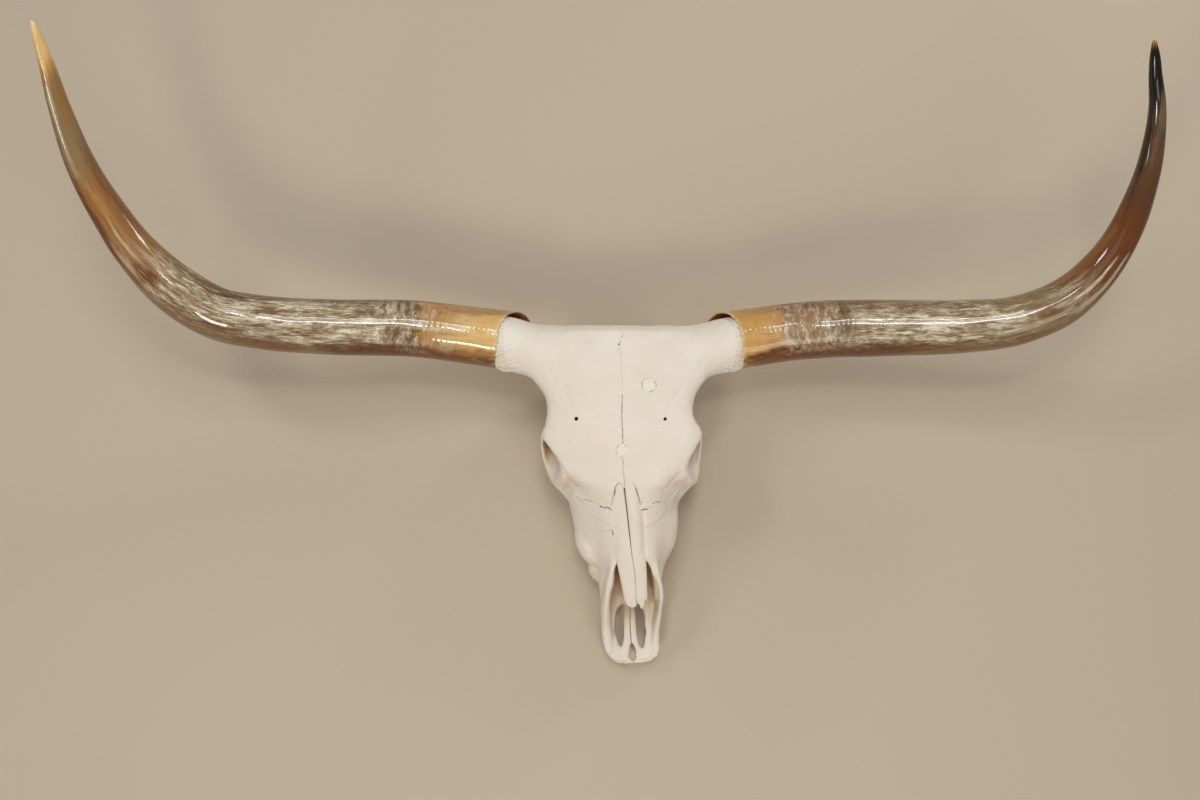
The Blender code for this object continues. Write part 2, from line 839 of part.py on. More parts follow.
corners = [vert.co for piece in nodes.values() for vert in piece.data.vertices]
middle = [(min(c[k] for c in corners) + max(c[k] for c in corners)) / 2 for k in range(2)]
skull.location = (-middle[0], -middle[1], 0.0)
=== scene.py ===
# Longhorn steer skull: sun-bleached bone with polished horn sheaths, lying forehead up.
# Everything is modelled in millimetres in the skull's own frame and set down in the packed
# model's frame in metres: x runs across, s from the poll towards the nose, z up from the
# floor. Left and right are the animal's own, so its left is +x.

import math

import bmesh
import bpy
import numpy as np
from mathutils import Matrix, Vector, kdtree
from mathutils.bvhtree import BVHTree


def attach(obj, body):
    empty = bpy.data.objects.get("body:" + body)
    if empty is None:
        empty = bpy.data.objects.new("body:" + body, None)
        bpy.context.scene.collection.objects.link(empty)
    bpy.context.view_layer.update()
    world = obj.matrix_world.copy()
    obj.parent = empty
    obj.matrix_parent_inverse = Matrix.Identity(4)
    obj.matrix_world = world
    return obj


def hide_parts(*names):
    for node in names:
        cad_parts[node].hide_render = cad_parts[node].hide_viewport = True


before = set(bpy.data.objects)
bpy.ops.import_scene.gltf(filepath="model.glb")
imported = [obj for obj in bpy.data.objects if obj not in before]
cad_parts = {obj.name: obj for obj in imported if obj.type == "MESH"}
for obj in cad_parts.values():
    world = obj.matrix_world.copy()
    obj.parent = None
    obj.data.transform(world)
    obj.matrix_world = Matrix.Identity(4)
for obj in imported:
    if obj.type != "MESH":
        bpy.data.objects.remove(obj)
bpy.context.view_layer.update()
scene = bpy.context.scene
print("frame loaded with", len(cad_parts), "nodes")

mm = 0.001
pollOnFloor = (15.97, 75.37)  # where the middle of the poll edge stands in the frame, mm
sides = ((1, "left"), (-1, "right"))

# The muzzle leans to the animal's left and turns a little about its own length
muzzleLean = {"start": 150, "end": 395, "aside": 19, "turn": 0.07, "turnHeight": 60,
              "tipStart": 430, "tipEnd": 510, "tipAside": 6}


def eased(value, start, end):
    share = np.clip((value - start) / (end - start), 0.0, 1.0)
    return share * share * (3 - 2 * share)


def bell(away, width):
    # One in the middle, and next to nothing two widths away.
    return np.exp(-((away / width) ** 2))


def leanAt(s, z):
    lean = muzzleLean
    muzzle = lean["aside"] + lean["turn"] * (z - lean["turnHeight"])
    tip = lean["tipAside"] * eased(s, lean["tipStart"], lean["tipEnd"])
    return eased(s, lean["start"], lean["end"]) * muzzle + tip


def spot(x, s, z):
    return Vector((x + pollOnFloor[0], pollOnFloor[1] - s, z)) * mm


def toSkull(points):
    # Frame metres to skull millimetres, for an array of points.
    out = np.array(points, float) / mm
    out[:, 0] -= pollOnFloor[0]
    out[:, 1] = pollOnFloor[1] - out[:, 1]
    return out


def toFrame(points):
    out = np.array(points, float)
    out[:, 0] += pollOnFloor[0]
    out[:, 1] = pollOnFloor[1] - out[:, 1]
    return out * mm


def smoothRows(rows, count, leading=3):
    # Rows at even steps on a smooth curve through the given ones; the leading columns are
    # a place, whose distances set the pace.
    rows = np.array(rows, float)
    gaps = np.linalg.norm(np.diff(rows[:, :leading], axis=0), axis=1)
    knots = np.concatenate([[0.0], np.cumsum(gaps)])
    slopes = np.gradient(rows, knots, axis=0)
    stops = np.linspace(0.0, knots[-1], count)
    span = np.clip(np.searchsorted(knots, stops) - 1, 0, len(gaps) - 1)
    width = gaps[span][:, None]
    t = (stops - knots[span])[:, None] / width
    near = (2 * t**3 - 3 * t**2 + 1) * rows[span] + (t**3 - 2 * t**2 + t) * slopes[span] * width
    far = (3 * t**2 - 2 * t**3) * rows[span + 1] + (t**3 - t**2) * slopes[span + 1] * width
    return near + far


def ripple(points, size, seed, waves=9):
    # Soft unevenness from crossing waves about as long as the size, between -1 and 1.
    chance = np.random.default_rng(seed)
    total = np.zeros(len(points))
    for _ in range(waves):
        way = chance.normal(size=3)
        way *= chance.uniform(0.6, 1.5) * 2 * math.pi / size / np.linalg.norm(way)
        total += np.sin(points @ way + chance.uniform(0, 2 * math.pi))
    return total / math.sqrt(waves)


def pointsOf(mesh):
    flat = np.empty(len(mesh.vertices) * 3, np.float32)
    mesh.vertices.foreach_get("co", flat)
    return flat.reshape(-1, 3).astype(float)


def normalsOf(mesh):
    flat = np.empty(len(mesh.vertices) * 3, np.float32)
    mesh.vertex_normals.foreach_get("vector", flat)
    return flat.reshape(-1, 3).astype(float)


def setPoints(mesh, points):
    mesh.vertices.foreach_set("co", np.ascontiguousarray(points, np.float32).ravel())
    mesh.update()


def setLayer(mesh, name, values):
    layer = mesh.attributes.get(name) or mesh.attributes.new(name, "FLOAT", "POINT")
    layer.data.foreach_set("value", np.ascontiguousarray(values, np.float32))


def objectOf(name, mesh):
    piece = bpy.data.objects.new(name, mesh)
    scene.collection.objects.link(piece)
    return piece


def objectFrom(name, shells):
    mesh = bpy.data.meshes.new(name)
    shells.to_mesh(mesh)
    shells.free()
    return objectOf(name, mesh)


def bake(piece):
    graph = bpy.context.evaluated_depsgraph_get()
    result = bpy.data.meshes.new_from_object(piece.evaluated_get(graph))
    old = piece.data
    piece.modifiers.clear()
    piece.data = result
    bpy.data.meshes.remove(old)


def fuse(piece, voxel, passes=0):
    # One skin over everything the piece holds, then a light rub with fine paper.
    skin = piece.modifiers.new("fuse", "REMESH")
    skin.mode = "VOXEL"
    skin.voxel_size = voxel * mm
    if passes:
        rub = piece.modifiers.new("rub", "SMOOTH")
        rub.iterations = passes
        rub.factor = 0.5
    bake(piece)


def rubDown(mesh, weight, passes):
    # Evens out the skin, as far as the weight at each point says.
    ends = np.empty(len(mesh.edges) * 2, np.int32)
    mesh.edges.foreach_get("vertices", ends)
    here, there = np.concatenate([ends[::2], ends[1::2]]), np.concatenate([ends[1::2], ends[::2]])
    touched = weight[here] > 0
    here, there = here[touched], there[touched]
    points = pointsOf(mesh)
    valence = np.maximum(np.bincount(here, minlength=len(points)), 1)[:, None]
    for _ in range(passes):
        around = [np.bincount(here, points[there, axis], len(points)) for axis in range(3)]
        points += 0.5 * weight[:, None] * (np.column_stack(around) / valence - points)
    setPoints(mesh, points)


def carve(piece, tool):
    cut = piece.modifiers.new("carve", "BOOLEAN")
    cut.operation = "DIFFERENCE"
    cut.object = tool
    bake(piece)
    bpy.data.objects.remove(tool, do_unlink=True)


def addSkin(shells, rings):
    # A closed skin over rings of points, with both ends filled.
    loops = [[shells.verts.new(point) for point in ring] for ring in rings]
    faces = [shells.faces.new(loops[0]), shells.faces.new(loops[-1])]
    for near, far in zip(loops, loops[1:]):
        for k in range(len(near)):
            faces.append(shells.faces.new((near[k - 1], near[k], far[k], far[k - 1])))
    bmesh.ops.recalc_face_normals(shells, faces=faces)


def addSlab(shells, sections, power=3.2, around=48):
    # A rounded box that changes along s: half width (or the left and the right one), top
    # and underside.
    rings = []
    for s, *halves, top, under in smoothRows(sections, 3 * len(sections), leading=1):
        ring = []
        for k in range(around):
            angle = 2 * math.pi * k / around
            across = math.copysign(abs(math.cos(angle)) ** (2 / power), math.cos(angle))
            upright = math.copysign(abs(math.sin(angle)) ** (2 / power), math.sin(angle))
            half = halves[0] if across > 0 else halves[-1]
            ring.append(spot(half * across, s, (top + under) / 2 + (top - under) / 2 * upright))
        rings.append(ring)
    addSkin(shells, rings)


def ringsAlong(points, widths, heights, around):
    # Rings square to a path: widths lie level, heights are square to that.
    rings = []
    for k, point in enumerate(points):
        ahead = (points[min(k + 1, len(points) - 1)] - points[max(k - 1, 0)]).normalized()
        level = ahead.cross(Vector((0, 0, 1)))
        if level.length < 0.3:
            level = Vector((1, 0, 0)) - ahead * ahead.x
        level.normalize()
        upright = level.cross(ahead)
        ring = []
        for j in range(around):
            angle = 2 * math.pi * j / around
            ring.append(point + level * widths[k] * math.cos(angle) + upright * heights[k] * math.sin(angle))
        rings.append(ring)
    return rings


def addBar(shells, path, side, around=24):
    rows = smoothRows(path, 4 * len(path))
    points = [spot(side * x, s, z) for x, s, z in rows[:, :3]]
    addSkin(shells, ringsAlong(points, rows[:, 3] * mm, rows[:, 4] * mm, around))


def addBall(shells, ball, side):
    (x, s, z), (across, along, upright) = ball
    for vert in bmesh.ops.create_icosphere(shells, subdivisions=4, radius=1.0)["verts"]:
        a, b, c = vert.co
        vert.co = spot(side * x + across * a, s - along * b, z + upright * c)


# The solid bone: vault and braincase as s, half width, top, underside
skullBone = {
    "voxel": 1.7,
    "rub": 9,
    "vault": (
        (-2.5, 112, 156, 132), (5, 124, 168, 116), (22, 132, 174, 106), (48, 137, 177, 104),
        (70, 133, 179, 108), (83, 125, 180, 113), (97, 114, 181, 119), (111, 108, 181, 124),
        (128, 106.5, 181, 130), (145, 109, 180, 133), (163, 114.5, 178, 134),
        (176, 107, 177, 134), (191, 97.5, 175, 134), (207, 88, 172, 134), (218, 80, 170, 132),
        (228, 72, 167.5, 126), (240, 58, 164, 120),
    ),
    "braincase": (
        (6, 62, 150, 78), (14, 86, 158, 58), (32, 96, 160, 50), (56, 90, 158, 50),
        (84, 74, 156, 58), (112, 66, 154, 64), (146, 60, 154, 72), (190, 56, 160, 80),
        (214, 56, 160, 70),
    ),
    # s, roof height, then x and z of brow, flank, cheek and jaw, then palate height
    "face": (
        (190, 174, 58, 168, 64, 140, 64, 112, 50, 84, 84),
        (208, 171, 54, 165, 80, 146, 96, 100, 66, 56, 62),
        (222, 169, 47, 163, 78, 138, 97, 97, 69, 38, 46),
        (236, 166, 40, 160, 70, 132, 87, 94, 70, 30, 41),
        (254, 160, 33, 154, 61, 124, 80, 87, 70, 26, 38),
        (286, 151, 28, 144, 56, 112, 78, 74, 65, 24, 38),
        (312, 143, 27, 135, 53, 102, 73, 64, 58, 24, 38),
        (330, 137, 27, 128, 48, 95, 64, 58, 52, 25, 38),
        (346, 131, 28, 121, 42, 90, 54, 56, 47, 28, 37),
        (366, 120, 31, 108, 39, 82, 48, 56, 42, 30, 36),
        (390, 98, 36, 86, 41, 69, 46, 52, 40, 30, 34),
        (400, 90, 38, 78, 41, 64, 45, 50, 38, 31, 34),
    ),
    # air passage: s, left and right half width, top, underside
    "passage": (
        (286, 12, 12, 120, 66), (300, 18, 18, 130, 52), (332, 18, 20, 127, 47),
        (343, 18.5, 23, 146, 46), (354, 22.5, 27, 172, 46), (370, 28, 29.5, 172, 45),
        (390, 32.5, 33.5, 172, 44), (430, 36, 35, 172, 43),
    ),
    "choana": ((110, 20, 70, 20), (160, 19, 72, 20), (210, 18, 70, 20), (240, 16, 64, 30)),
    # bars through x, s, z with half breadths across and upright, made on both sides
    "bars": {
        "zygomaticArch": (
            (84, 58, 80, 13, 9), (95, 84, 84, 8, 9), (99, 112, 84, 5, 9), (104, 140, 88, 5, 11),
            (109, 164, 94, 6, 14), (107, 192, 90, 7, 12), (101, 216, 86, 9, 12),
            (89, 233, 82, 9, 12), (74, 256, 74, 8, 12), (70, 286, 62, 7, 9),
        ),
        "postorbitalBar": (
            (100, 154, 160, 8, 5), (109, 156, 146, 4, 4.5), (113.5, 157.5, 124, 3.5, 5),
            (113, 161, 100, 5, 8),
        ),
        "orbitRim": (
            (114.5, 162, 122, 2.6, 6), (115.5, 172, 107, 2.8, 6), (113.3, 188, 101, 3.2, 6),
            (109, 206, 101, 4, 6.5), (104, 218, 106, 5.5, 7), (97, 225, 118, 7, 7.5),
            (90, 226, 134, 8, 8), (84, 219, 150, 7.5, 7), (81, 211, 160, 6, 5),
        ),
        "premaxillaBar": (
            (31, 338, 117, 3.5, 6), (34, 360, 101, 4.5, 16), (39.5, 386, 78, 4.5, 22),
            (41, 412, 58, 5, 20), (39, 438, 43, 5.5, 13), (36.5, 462, 34, 7, 8),
            (32, 478, 29, 9, 6.5), (22, 486.8, 27, 9, 5.5), (12, 490.3, 26, 7, 5),
            (4, 492.2, 26, 5, 4.5), (-2, 493.2, 26, 4, 4),
        ),
        "premaxillaShelf": (
            (22, 390, 39, 17, 6.5), (25.5, 405, 38, 13.5, 6), (28.5, 413, 37, 10.7, 5.5),
            (31, 422, 36.5, 9.5, 5), (32, 436, 35, 9.8, 5), (33, 450, 33, 9.8, 5),
            (30.6, 462, 30.5, 10, 5), (28.6, 472, 29, 10.2, 5.5), (25, 481, 28, 10.8, 5.5),
        ),
        "palatineProng": (
            (6, 384, 39, 5.2, 5), (5, 408, 39, 4.8, 4.2), (4.9, 440, 36, 4.8, 4.2),
            (5.4, 459, 33.2, 5.1, 4.3), (7.2, 471, 30.4, 6.4, 4.5), (13.5, 484, 27, 8, 5),
        ),
        "pterygoidPlate": (
            (26, 128, 66, 6, 10), (27, 160, 56, 4.5, 20), (28, 190, 46, 5, 22),
            (32, 212, 44, 7, 20),
        ),
        "paracondylarProcess": (
            (66, 30, 72, 15, 14), (64, 36, 44, 9, 12), (61, 42, 20, 6.5, 9), (59, 46, -6, 5.5, 7),
        ),
        "hornRoot": (
            (84, 33.5, 143, 39, 30), (110, 34, 142, 40, 33), (125, 33, 142, 40.6, 34.5),
            (140, 29.5, 141, 40.2, 35.8), (152, 26, 141, 40.6, 36.8), (162, 23, 140.5, 40.6, 37.8),
            (172, 20.5, 140, 39.5, 38.7), (180, 18.5, 140, 38.6, 38.8), (200, 17, 140, 36.5, 36.5),
        ),
    },
    "base": ((0, 16, 62, 17, 9), (0, 50, 60, 20, 10), (0, 100, 70, 17, 12), (0, 160, 82, 14, 14)),
    # rounded masses: x, s, z and radii
    "balls": {
        "condyle": ((29, 10, 54), (17, 15, 21)),
        "jawJoint": ((80, 82, 78), (22, 17, 11)),
        "earBulla": ((44, 70, 54), (12, 19, 14)),
    },
    "earlyBalls": {
        "mastoid": ((82, 34, 84), (20, 20, 30)),
        "orbitCup": ((82, 192, 120), (30, 34, 36)),
    },
    "rightBar": (
        (31.5, 348, 110, 4, 8), (32.5, 364, 98, 6, 15), (36.5, 386, 78, 6.8, 21),
        (37.6, 412, 58, 7.6, 19), (36.3, 438, 43, 8, 12), (35, 458, 35, 8.2, 8),
    ),
    "rightCheek": (((50, 307, 58), (30, 44, 30)), ((49, 352, 42), (14, 20, 16))),
    "eyeSocket": (
        ((114, 188, 132), (34, 28, 30)), ((82, 172, 112), (15, 19, 17)),
        ((107.5, 207, 150), (15, 20, 42)),
    ),
    "leftOrbit": {"x": (92, 160), "s": (152, 228), "z": (92, 182), "fade": 22, "out": 5.6},
    "frontGap": ((0.8, 480.5, 28), (5.2, 14.6, 40)),
    "foramenMagnum": ((0, 0, 78), (20, 34, 17)),
    "earOpening": ((104, 62, 70), (14, 5, 5)),
    # where bones have grown into each other: |x|, s and z from and to, with the fade, in mm
    "blended": (
        {"x": (86, 160), "s": (-20, 112), "z": (90, 200), "fade": 14, "passes": 110},
        {"x": (0, 78), "s": (196, 262), "z": (128, 200), "fade": 12, "passes": 130},
        {"x": (40, 92), "s": (226, 300), "z": (60, 150), "fade": 14, "passes": 50},
        {"x": (70, 120), "s": (200, 250), "z": (85, 175), "fade": 8, "passes": 16},
        {"x": (22, 46), "s": (322, 352), "z": (98, 140), "fade": 8, "passes": 30},
        {"x": (8, 36), "s": (386, 416), "z": (30, 54), "fade": 8, "passes": 30},
        {"x": (40, 80), "s": (330, 366), "z": (20, 80), "fade": 8, "passes": 18},
    ),
}


def inZone(places, zone):
    # One inside the zone, easing to nothing over its fade.
    share = np.ones(len(places))
    for axis, key in enumerate("xsz"):
        value = np.abs(places[:, 0]) if axis == 0 else places[:, axis]
        low, high = zone[key]
        share *= eased(value, low - zone["fade"], low) * (1 - eased(value, high, high + zone["fade"]))
    return share


def addFace(shells, sections, steps=6):
    rings = []
    for row in smoothRows(sections, 3 * len(sections), leading=1):
        s, roof, browX, browZ, flankX, flankZ, cheekX, cheekZ, jawX, jawZ, palate = row
        half = [(0, roof), (browX, browZ), (flankX, flankZ), (cheekX, cheekZ), (jawX, jawZ),
                (jawX - 16, min(jawZ + 2, palate)), (0.4 * jawX, palate), (0, palate)]
        whole = half + [(-x, z) for x, z in half[-2:0:-1]]
        wrapped = whole[-2:] + whole + whole[:3]
        curve = smoothRows(wrapped, steps * (len(wrapped) - 1) + 1, leading=2)
        rings.append([spot(x, s, z) for x, z in curve[2 * steps : -2 * steps - 1]])
    addSkin(shells, rings)


def makeBone(bone):
    shells = bmesh.new()
    addSlab(shells, bone["vault"])
    addSlab(shells, bone["braincase"], power=2.4)
    addFace(shells, bone["face"])
    addBar(shells, bone["base"], 1)
    for side, _ in sides:
        for ball in bone["earlyBalls"].values():
            addBall(shells, ball, side)
    for ball in bone["rightCheek"]:
        addBall(shells, ball, -1)
    mass = objectFrom("bone", shells)
    fuse(mass, bone["voxel"])

    hollows = bmesh.new()
    addSlab(hollows, bone["passage"], power=2.6)
    addSlab(hollows, bone["choana"], power=2.6)
    for side, _ in sides:
        for ball in bone["eyeSocket"]:
            addBall(hollows, ball, side)
    hollow = objectFrom("hollow", hollows)
    fuse(hollow, bone["voxel"])
    carve(mass, hollow)

    shells = bmesh.new()
    shells.from_mesh(mass.data)
    bpy.data.objects.remove(mass, do_unlink=True)
    for side, _ in sides:
        for bar in bone["bars"].values():
            addBar(shells, bar, side)
        for ball in bone["balls"].values():
            addBall(shells, ball, side)
    addBar(shells, bone["rightBar"], -1)
    whole = objectFrom("bone", shells)
    fuse(whole, bone["voxel"])

    pits = bmesh.new()
    addBall(pits, bone["foramenMagnum"], 1)
    for side, _ in sides:
        addBall(pits, bone["earOpening"], side)
    addBall(pits, bone["frontGap"], 1)
    carve(whole, objectFrom("pits", pits))
    fuse(whole, bone["voxel"], bone["rub"])
    places = toSkull(pointsOf(whole.data))
    for zone in bone["blended"]:
        rubDown(whole.data, inZone(places, zone), zone["passes"])
    places = toSkull(pointsOf(whole.data))
    places[:, 0] += leanAt(places[:, 1], places[:, 2])
    orbit = bone["leftOrbit"]
    places[:, 0] += orbit["out"] * inZone(places, orbit) * (places[:, 0] > 0)
    setPoints(whole.data, toFrame(places))
    return whole


bone = makeBone(skullBone)
print("bone fused,", len(bone.data.polygons), "faces")

# The camera stands where the photograph's stood, so a mark can be put on the bone by the
# place it has in the picture
view = {"lens": 36, "sensor": 36, "at": (-59.9, -353.8, 1894.8), "pitch": 8, "roll": 1,
        "middle": (600, 400), "pixelsPerUnit": 1200}
viewAhead = Vector((math.sin(math.radians(view["roll"])), math.sin(math.radians(view["pitch"])),
                    -math.cos(math.radians(view["pitch"])))).normalized()
viewRight = (Vector((1, 0, 0)) - viewAhead * viewAhead.x).normalized()
viewUp = viewRight.cross(viewAhead)
viewAt = spot(view["at"][0], -view["at"][1], view["at"][2])
boneTree = BVHTree.FromPolygons([v.co[:] for v in bone.data.vertices],
                                [p.vertices[:] for p in bone.data.polygons])


def onBone(px, py):
    # Where the ray through a place in the picture meets the bone, in skull millimetres.
    across = (px - view["middle"][0]) / view["pixelsPerUnit"]
    upward = (view["middle"][1] - py) / view["pixelsPerUnit"]
    hit = boneTree.ray_cast(viewAt, (viewAhead + viewRight * across + viewUp * upward).normalized())[0]
    return None if hit is None else toSkull([hit])[0]


def lineOnBone(path, step=0.5):
    # A line through places in the picture, laid on the bone at even small steps.
    knots = [onBone(*place) for place in path]
    knots = np.array([k for k in knots if k is not None])
    length = np.linalg.norm(np.diff(knots, axis=0), axis=1).sum()
    return smoothRows(knots, max(3, int(length / step)))


# Seams between grown-together bones, folds and cracks: width and depth in mm, how dirty it
# is, how far it strays in mm, then its path by places in the picture
seams = {
    "midlineCrown": (0.8, 0.35, 0.22, 0.6, (
        (621.0, 335), (619.6, 343), (620.8, 352), (621.6, 366), (622.2, 380), (622.4, 396))),
    "midlineForehead": (0.9, 0.9, 0.9, 0.18, (
        (622.3, 395), (622.0, 408), (622.0, 420), (622.6, 431), (622.8, 443))),
    "midlineBrow": (0.75, 0.7, 0.6, 0.2, (
        (621.3, 457), (622.8, 459), (623.3, 464), (623.3, 471), (624.2, 478), (624.9, 486))),
    "nasalNotch": (0.7, 0.6, 0.6, 0.0, (
        (618.6, 483.9), (619.8, 483.5), (621.4, 484.2), (622.8, 486.6), (624.4, 489.6))),
    "rightNasalFrontal": (1.25, 1.3, 1.0, 0.2, (
        (611.0, 510), (609.1, 508.7), (607.5, 507.4), (604, 507.9), (600.8, 506.8), (599.2, 507.4))),
    "rightLacrimalInner": (1.0, 0.8, 0.75, 0.3, (
        (598, 505.2), (596.4, 503.3), (592.9, 502.2), (588.7, 501.2), (585.5, 499.8),
        (580.4, 497.9), (576.9, 495.9), (574.7, 493.4), (572.1, 490.8))),
    "rightLacrimalOuter": (1.7, 1.2, 0.5, 0.3, (
        (572.1, 490.8), (568.3, 487.6), (564.5, 485.4), (560, 482.9))),
    "rightLacrimalBranch": (0.8, 0.6, 0.5, 0.2, (
        (586.6, 507.8), (584.2, 505.5), (581, 502), (577.2, 498.2), (574, 495.3), (571.8, 493.7))),
    "rightCrackOuter": (1.0, 0.7, 0.4, 0.2, ((561.9, 489.4), (564.5, 489.0), (567, 489.2))),
    "rightCrackInner": (0.9, 0.7, 0.4, 0.2, ((568.3, 490.5), (570.8, 491.8))),
    "rightCrackUpper": (1.0, 0.6, 0.3, 0.3, ((574.5, 486.2), (577.0, 487.2), (579.2, 487.0))),
    "leftNasalFrontal": (1.25, 1.3, 1.0, 0.2, ((641.6, 511.0), (644.5, 509.3), (647.7, 509.6))),
    "leftLacrimalStart": (0.8, 0.6, 0.45, 0.2, ((648.6, 508.0), (651.5, 507.1))),
    "leftLacrimalInner": (0.9, 1.0, 0.85, 0.25, (
        (652.8, 503.8), (655.3, 502.3), (658.5, 502.2), (661.0, 501.4))),
    "leftLacrimalOuter": (1.5, 0.6, 0.2, 0.4, (
        (678.3, 487), (675.7, 490.8), (671.9, 495.9), (668, 500.4), (664.3, 504.9))),
    "leftLacrimalBranch": (1.5, 0.6, 0.2, 0.5, (
        (671.9, 483.8), (668, 489.6), (663.6, 494.7), (660.0, 501))),
    "leftCrackOuter": (1.0, 0.6, 0.3, 0.3, ((682, 487.6), (678.3, 490.8), (676.0, 492.0))),
    "leftCrackUpper": (1.1, 0.6, 0.35, 0.2, ((665.8, 488.8), (669.4, 485.7))),
    "leftOrbitFold": (1.3, 0.7, 0.2, 0.2, (
        (675.1, 485.1), (679.6, 485.4), (683.4, 483.8), (686.6, 480.6), (687.5, 477.4))),
    "rightCheekFold": (1.2, 0.22, 0.12, 1.2, (
        (575, 511), (582, 515), (588, 517.5), (592, 521), (595.5, 526), (600, 530.5))),
    "rightCheekEnd": (0.9, 0.35, 0.3, 0.8, (
        (600, 530.5), (604, 531.5), (607.5, 530.0), (610.5, 530.4))),
    "leftCheekFold": (1.2, 0.22, 0.12, 1.2, (
        (666, 513), (660, 518), (655, 524), (650, 529), (645, 530.6))),
    "rightNasalNick": (1.4, 2.2, 1.0, 0.0, ((611.0, 530.0), (612.2, 533), (613.0, 535.6))),
    "leftNasalNick": (0.9, 1.2, 0.6, 0.0, ((642.4, 529.5), (642.8, 534))),
    "rightLipFold": (1.3, 0.8, 0.35, 0.35, (
        (607.5, 655.2), (612.0, 659.0), (618.2, 660.6), (622.9, 661.4), (627.5, 660.6))),
    "leftLipFold": (1.3, 0.8, 0.2, 0.35, (
        (637.5, 660.6), (640.5, 659.4), (645.2, 659.6), (649.4, 657.8), (652.6, 653.9), (654.0, 648))),
}

# Round plugs of filler in the forehead: place and radius in picture pixels, the rest in mm
plugs = {"at": ((648.75, 385.4, 6.9), (622.3, 450.3, 6.1)), "mmPerPixel": 1.46, "corners": 160,
         "wobble": 0.45, "groove": 0.8, "grooveWidth": 0.8, "proud": 0.3}

# Small holes: place in the picture, radius and depth in mm
holes = (
    (576.2, 418.7, 2.9, 9), (665.3, 418.9, 2.5, 9), (620.4, 341.5, 1.0, 1.2),
    (618.9, 344.0, 1.3, 2.2), (621.8, 337.0, 1.0, 1.0), (618.4, 348.6, 0.9, 0.9),
    (623.5, 334.5, 1.0, 0.9), (619.6, 352.5, 0.9, 0.7), (642.0, 502.4, 1.1, 1.3),
    (611.8, 652.0, 1.0, 1.1), (610.0, 654.5, 0.8, 0.8), (651.0, 643.0, 0.8, 0.6),
)

# Shallow valleys, and ridges where the depth is below nought: width and depth in mm, path
valleys = {
    "rightForehead": (4.0, 0.9, ((574.5, 415), (571, 405), (567, 395), (562.5, 384))),
    "leftForehead": (4.0, 1.2, ((666.5, 415), (670, 405), (675, 398), (681, 391.5))),
    "rightOrbit": (3.6, 1.6, ((564.0, 472), (567.0, 477.4), (570.8, 481.3), (574.1, 485.1), (579, 487))),
    "leftOrbit": (3.6, 1.6, ((680.8, 473), (677.7, 475.5), (673.2, 480.6), (669.4, 485.7), (664, 491))),
    "leftNasal": (3.2, 1.8, ((642.5, 512), (643.2, 525), (643.8, 540), (645.0, 554))),
    "rightLacrimal": (3.0, -1.2, ((566, 487.6), (572, 492), (578, 496.5), (586, 501.4))),
    "leftLacrimal": (3.0, -1.2, ((677, 491), (673, 496.5), (668.5, 502))),
}

# Small swellings: place in the picture, radius and height in mm
knobs = (
    (561.9, 470.3, 3.4, 1.8), (683.7, 469.3, 3.4, 1.8), (680.2, 479.5, 8, 1.0),
    (602, 452, 7, 0.4), (575, 447, 6, 0.4), (714, 346.5, 3, 0.8),
)


def refineNear(mesh, places, reach):
    # Halves the faces that lie within reach of the given places, so fine marks have room.
    tree = kdtree.KDTree(len(places))
    for k, place in enumerate(toFrame(places)):
        tree.insert(place, k)
    tree.balance()
    body = bmesh.new()
    body.from_mesh(mesh)
    near = {vert for vert in body.verts if tree.find(vert.co)[2] < reach * mm}
    edges = [edge for edge in body.edges if edge.verts[0] in near and edge.verts[1] in near]
    bmesh.ops.subdivide_edges(body, edges=edges, cuts=1, use_grid_fill=True)
    body.to_mesh(mesh)
    body.free()


def distanceTo(points, places, reach):
    # Each point's distance to the nearest of the places, in mm; beyond reach it is just large.
    tree = kdtree.KDTree(len(places))
    for k, place in enumerate(places):
        tree.insert(place, k)
    tree.balance()
    low, high = places.min(0) - reach, places.max(0) + reach
    near = np.nonzero(((points > low) & (points < high)).all(1))[0]
    farOff = 1000.0
    out = np.full(len(points), farOff)
    for k in near:
        out[k] = tree.find(points[k])[2]
    return out


def strayed(line, wander, seed):
    # A seam doesn't run straight: it strays to and fro over a few millimetres.
    ahead = np.gradient(line, axis=0)
    ahead /= np.linalg.norm(ahead, axis=1)[:, None] + 1e-9
    aside = np.cross(ahead, (0, 0, 1.0))
    long, short = 5.5, 2.6  # mm
    away = ripple(line, long, seed) * 0.7 + ripple(line, short, seed + 50) * 0.5
    return line + aside * (wander * away)[:, None]


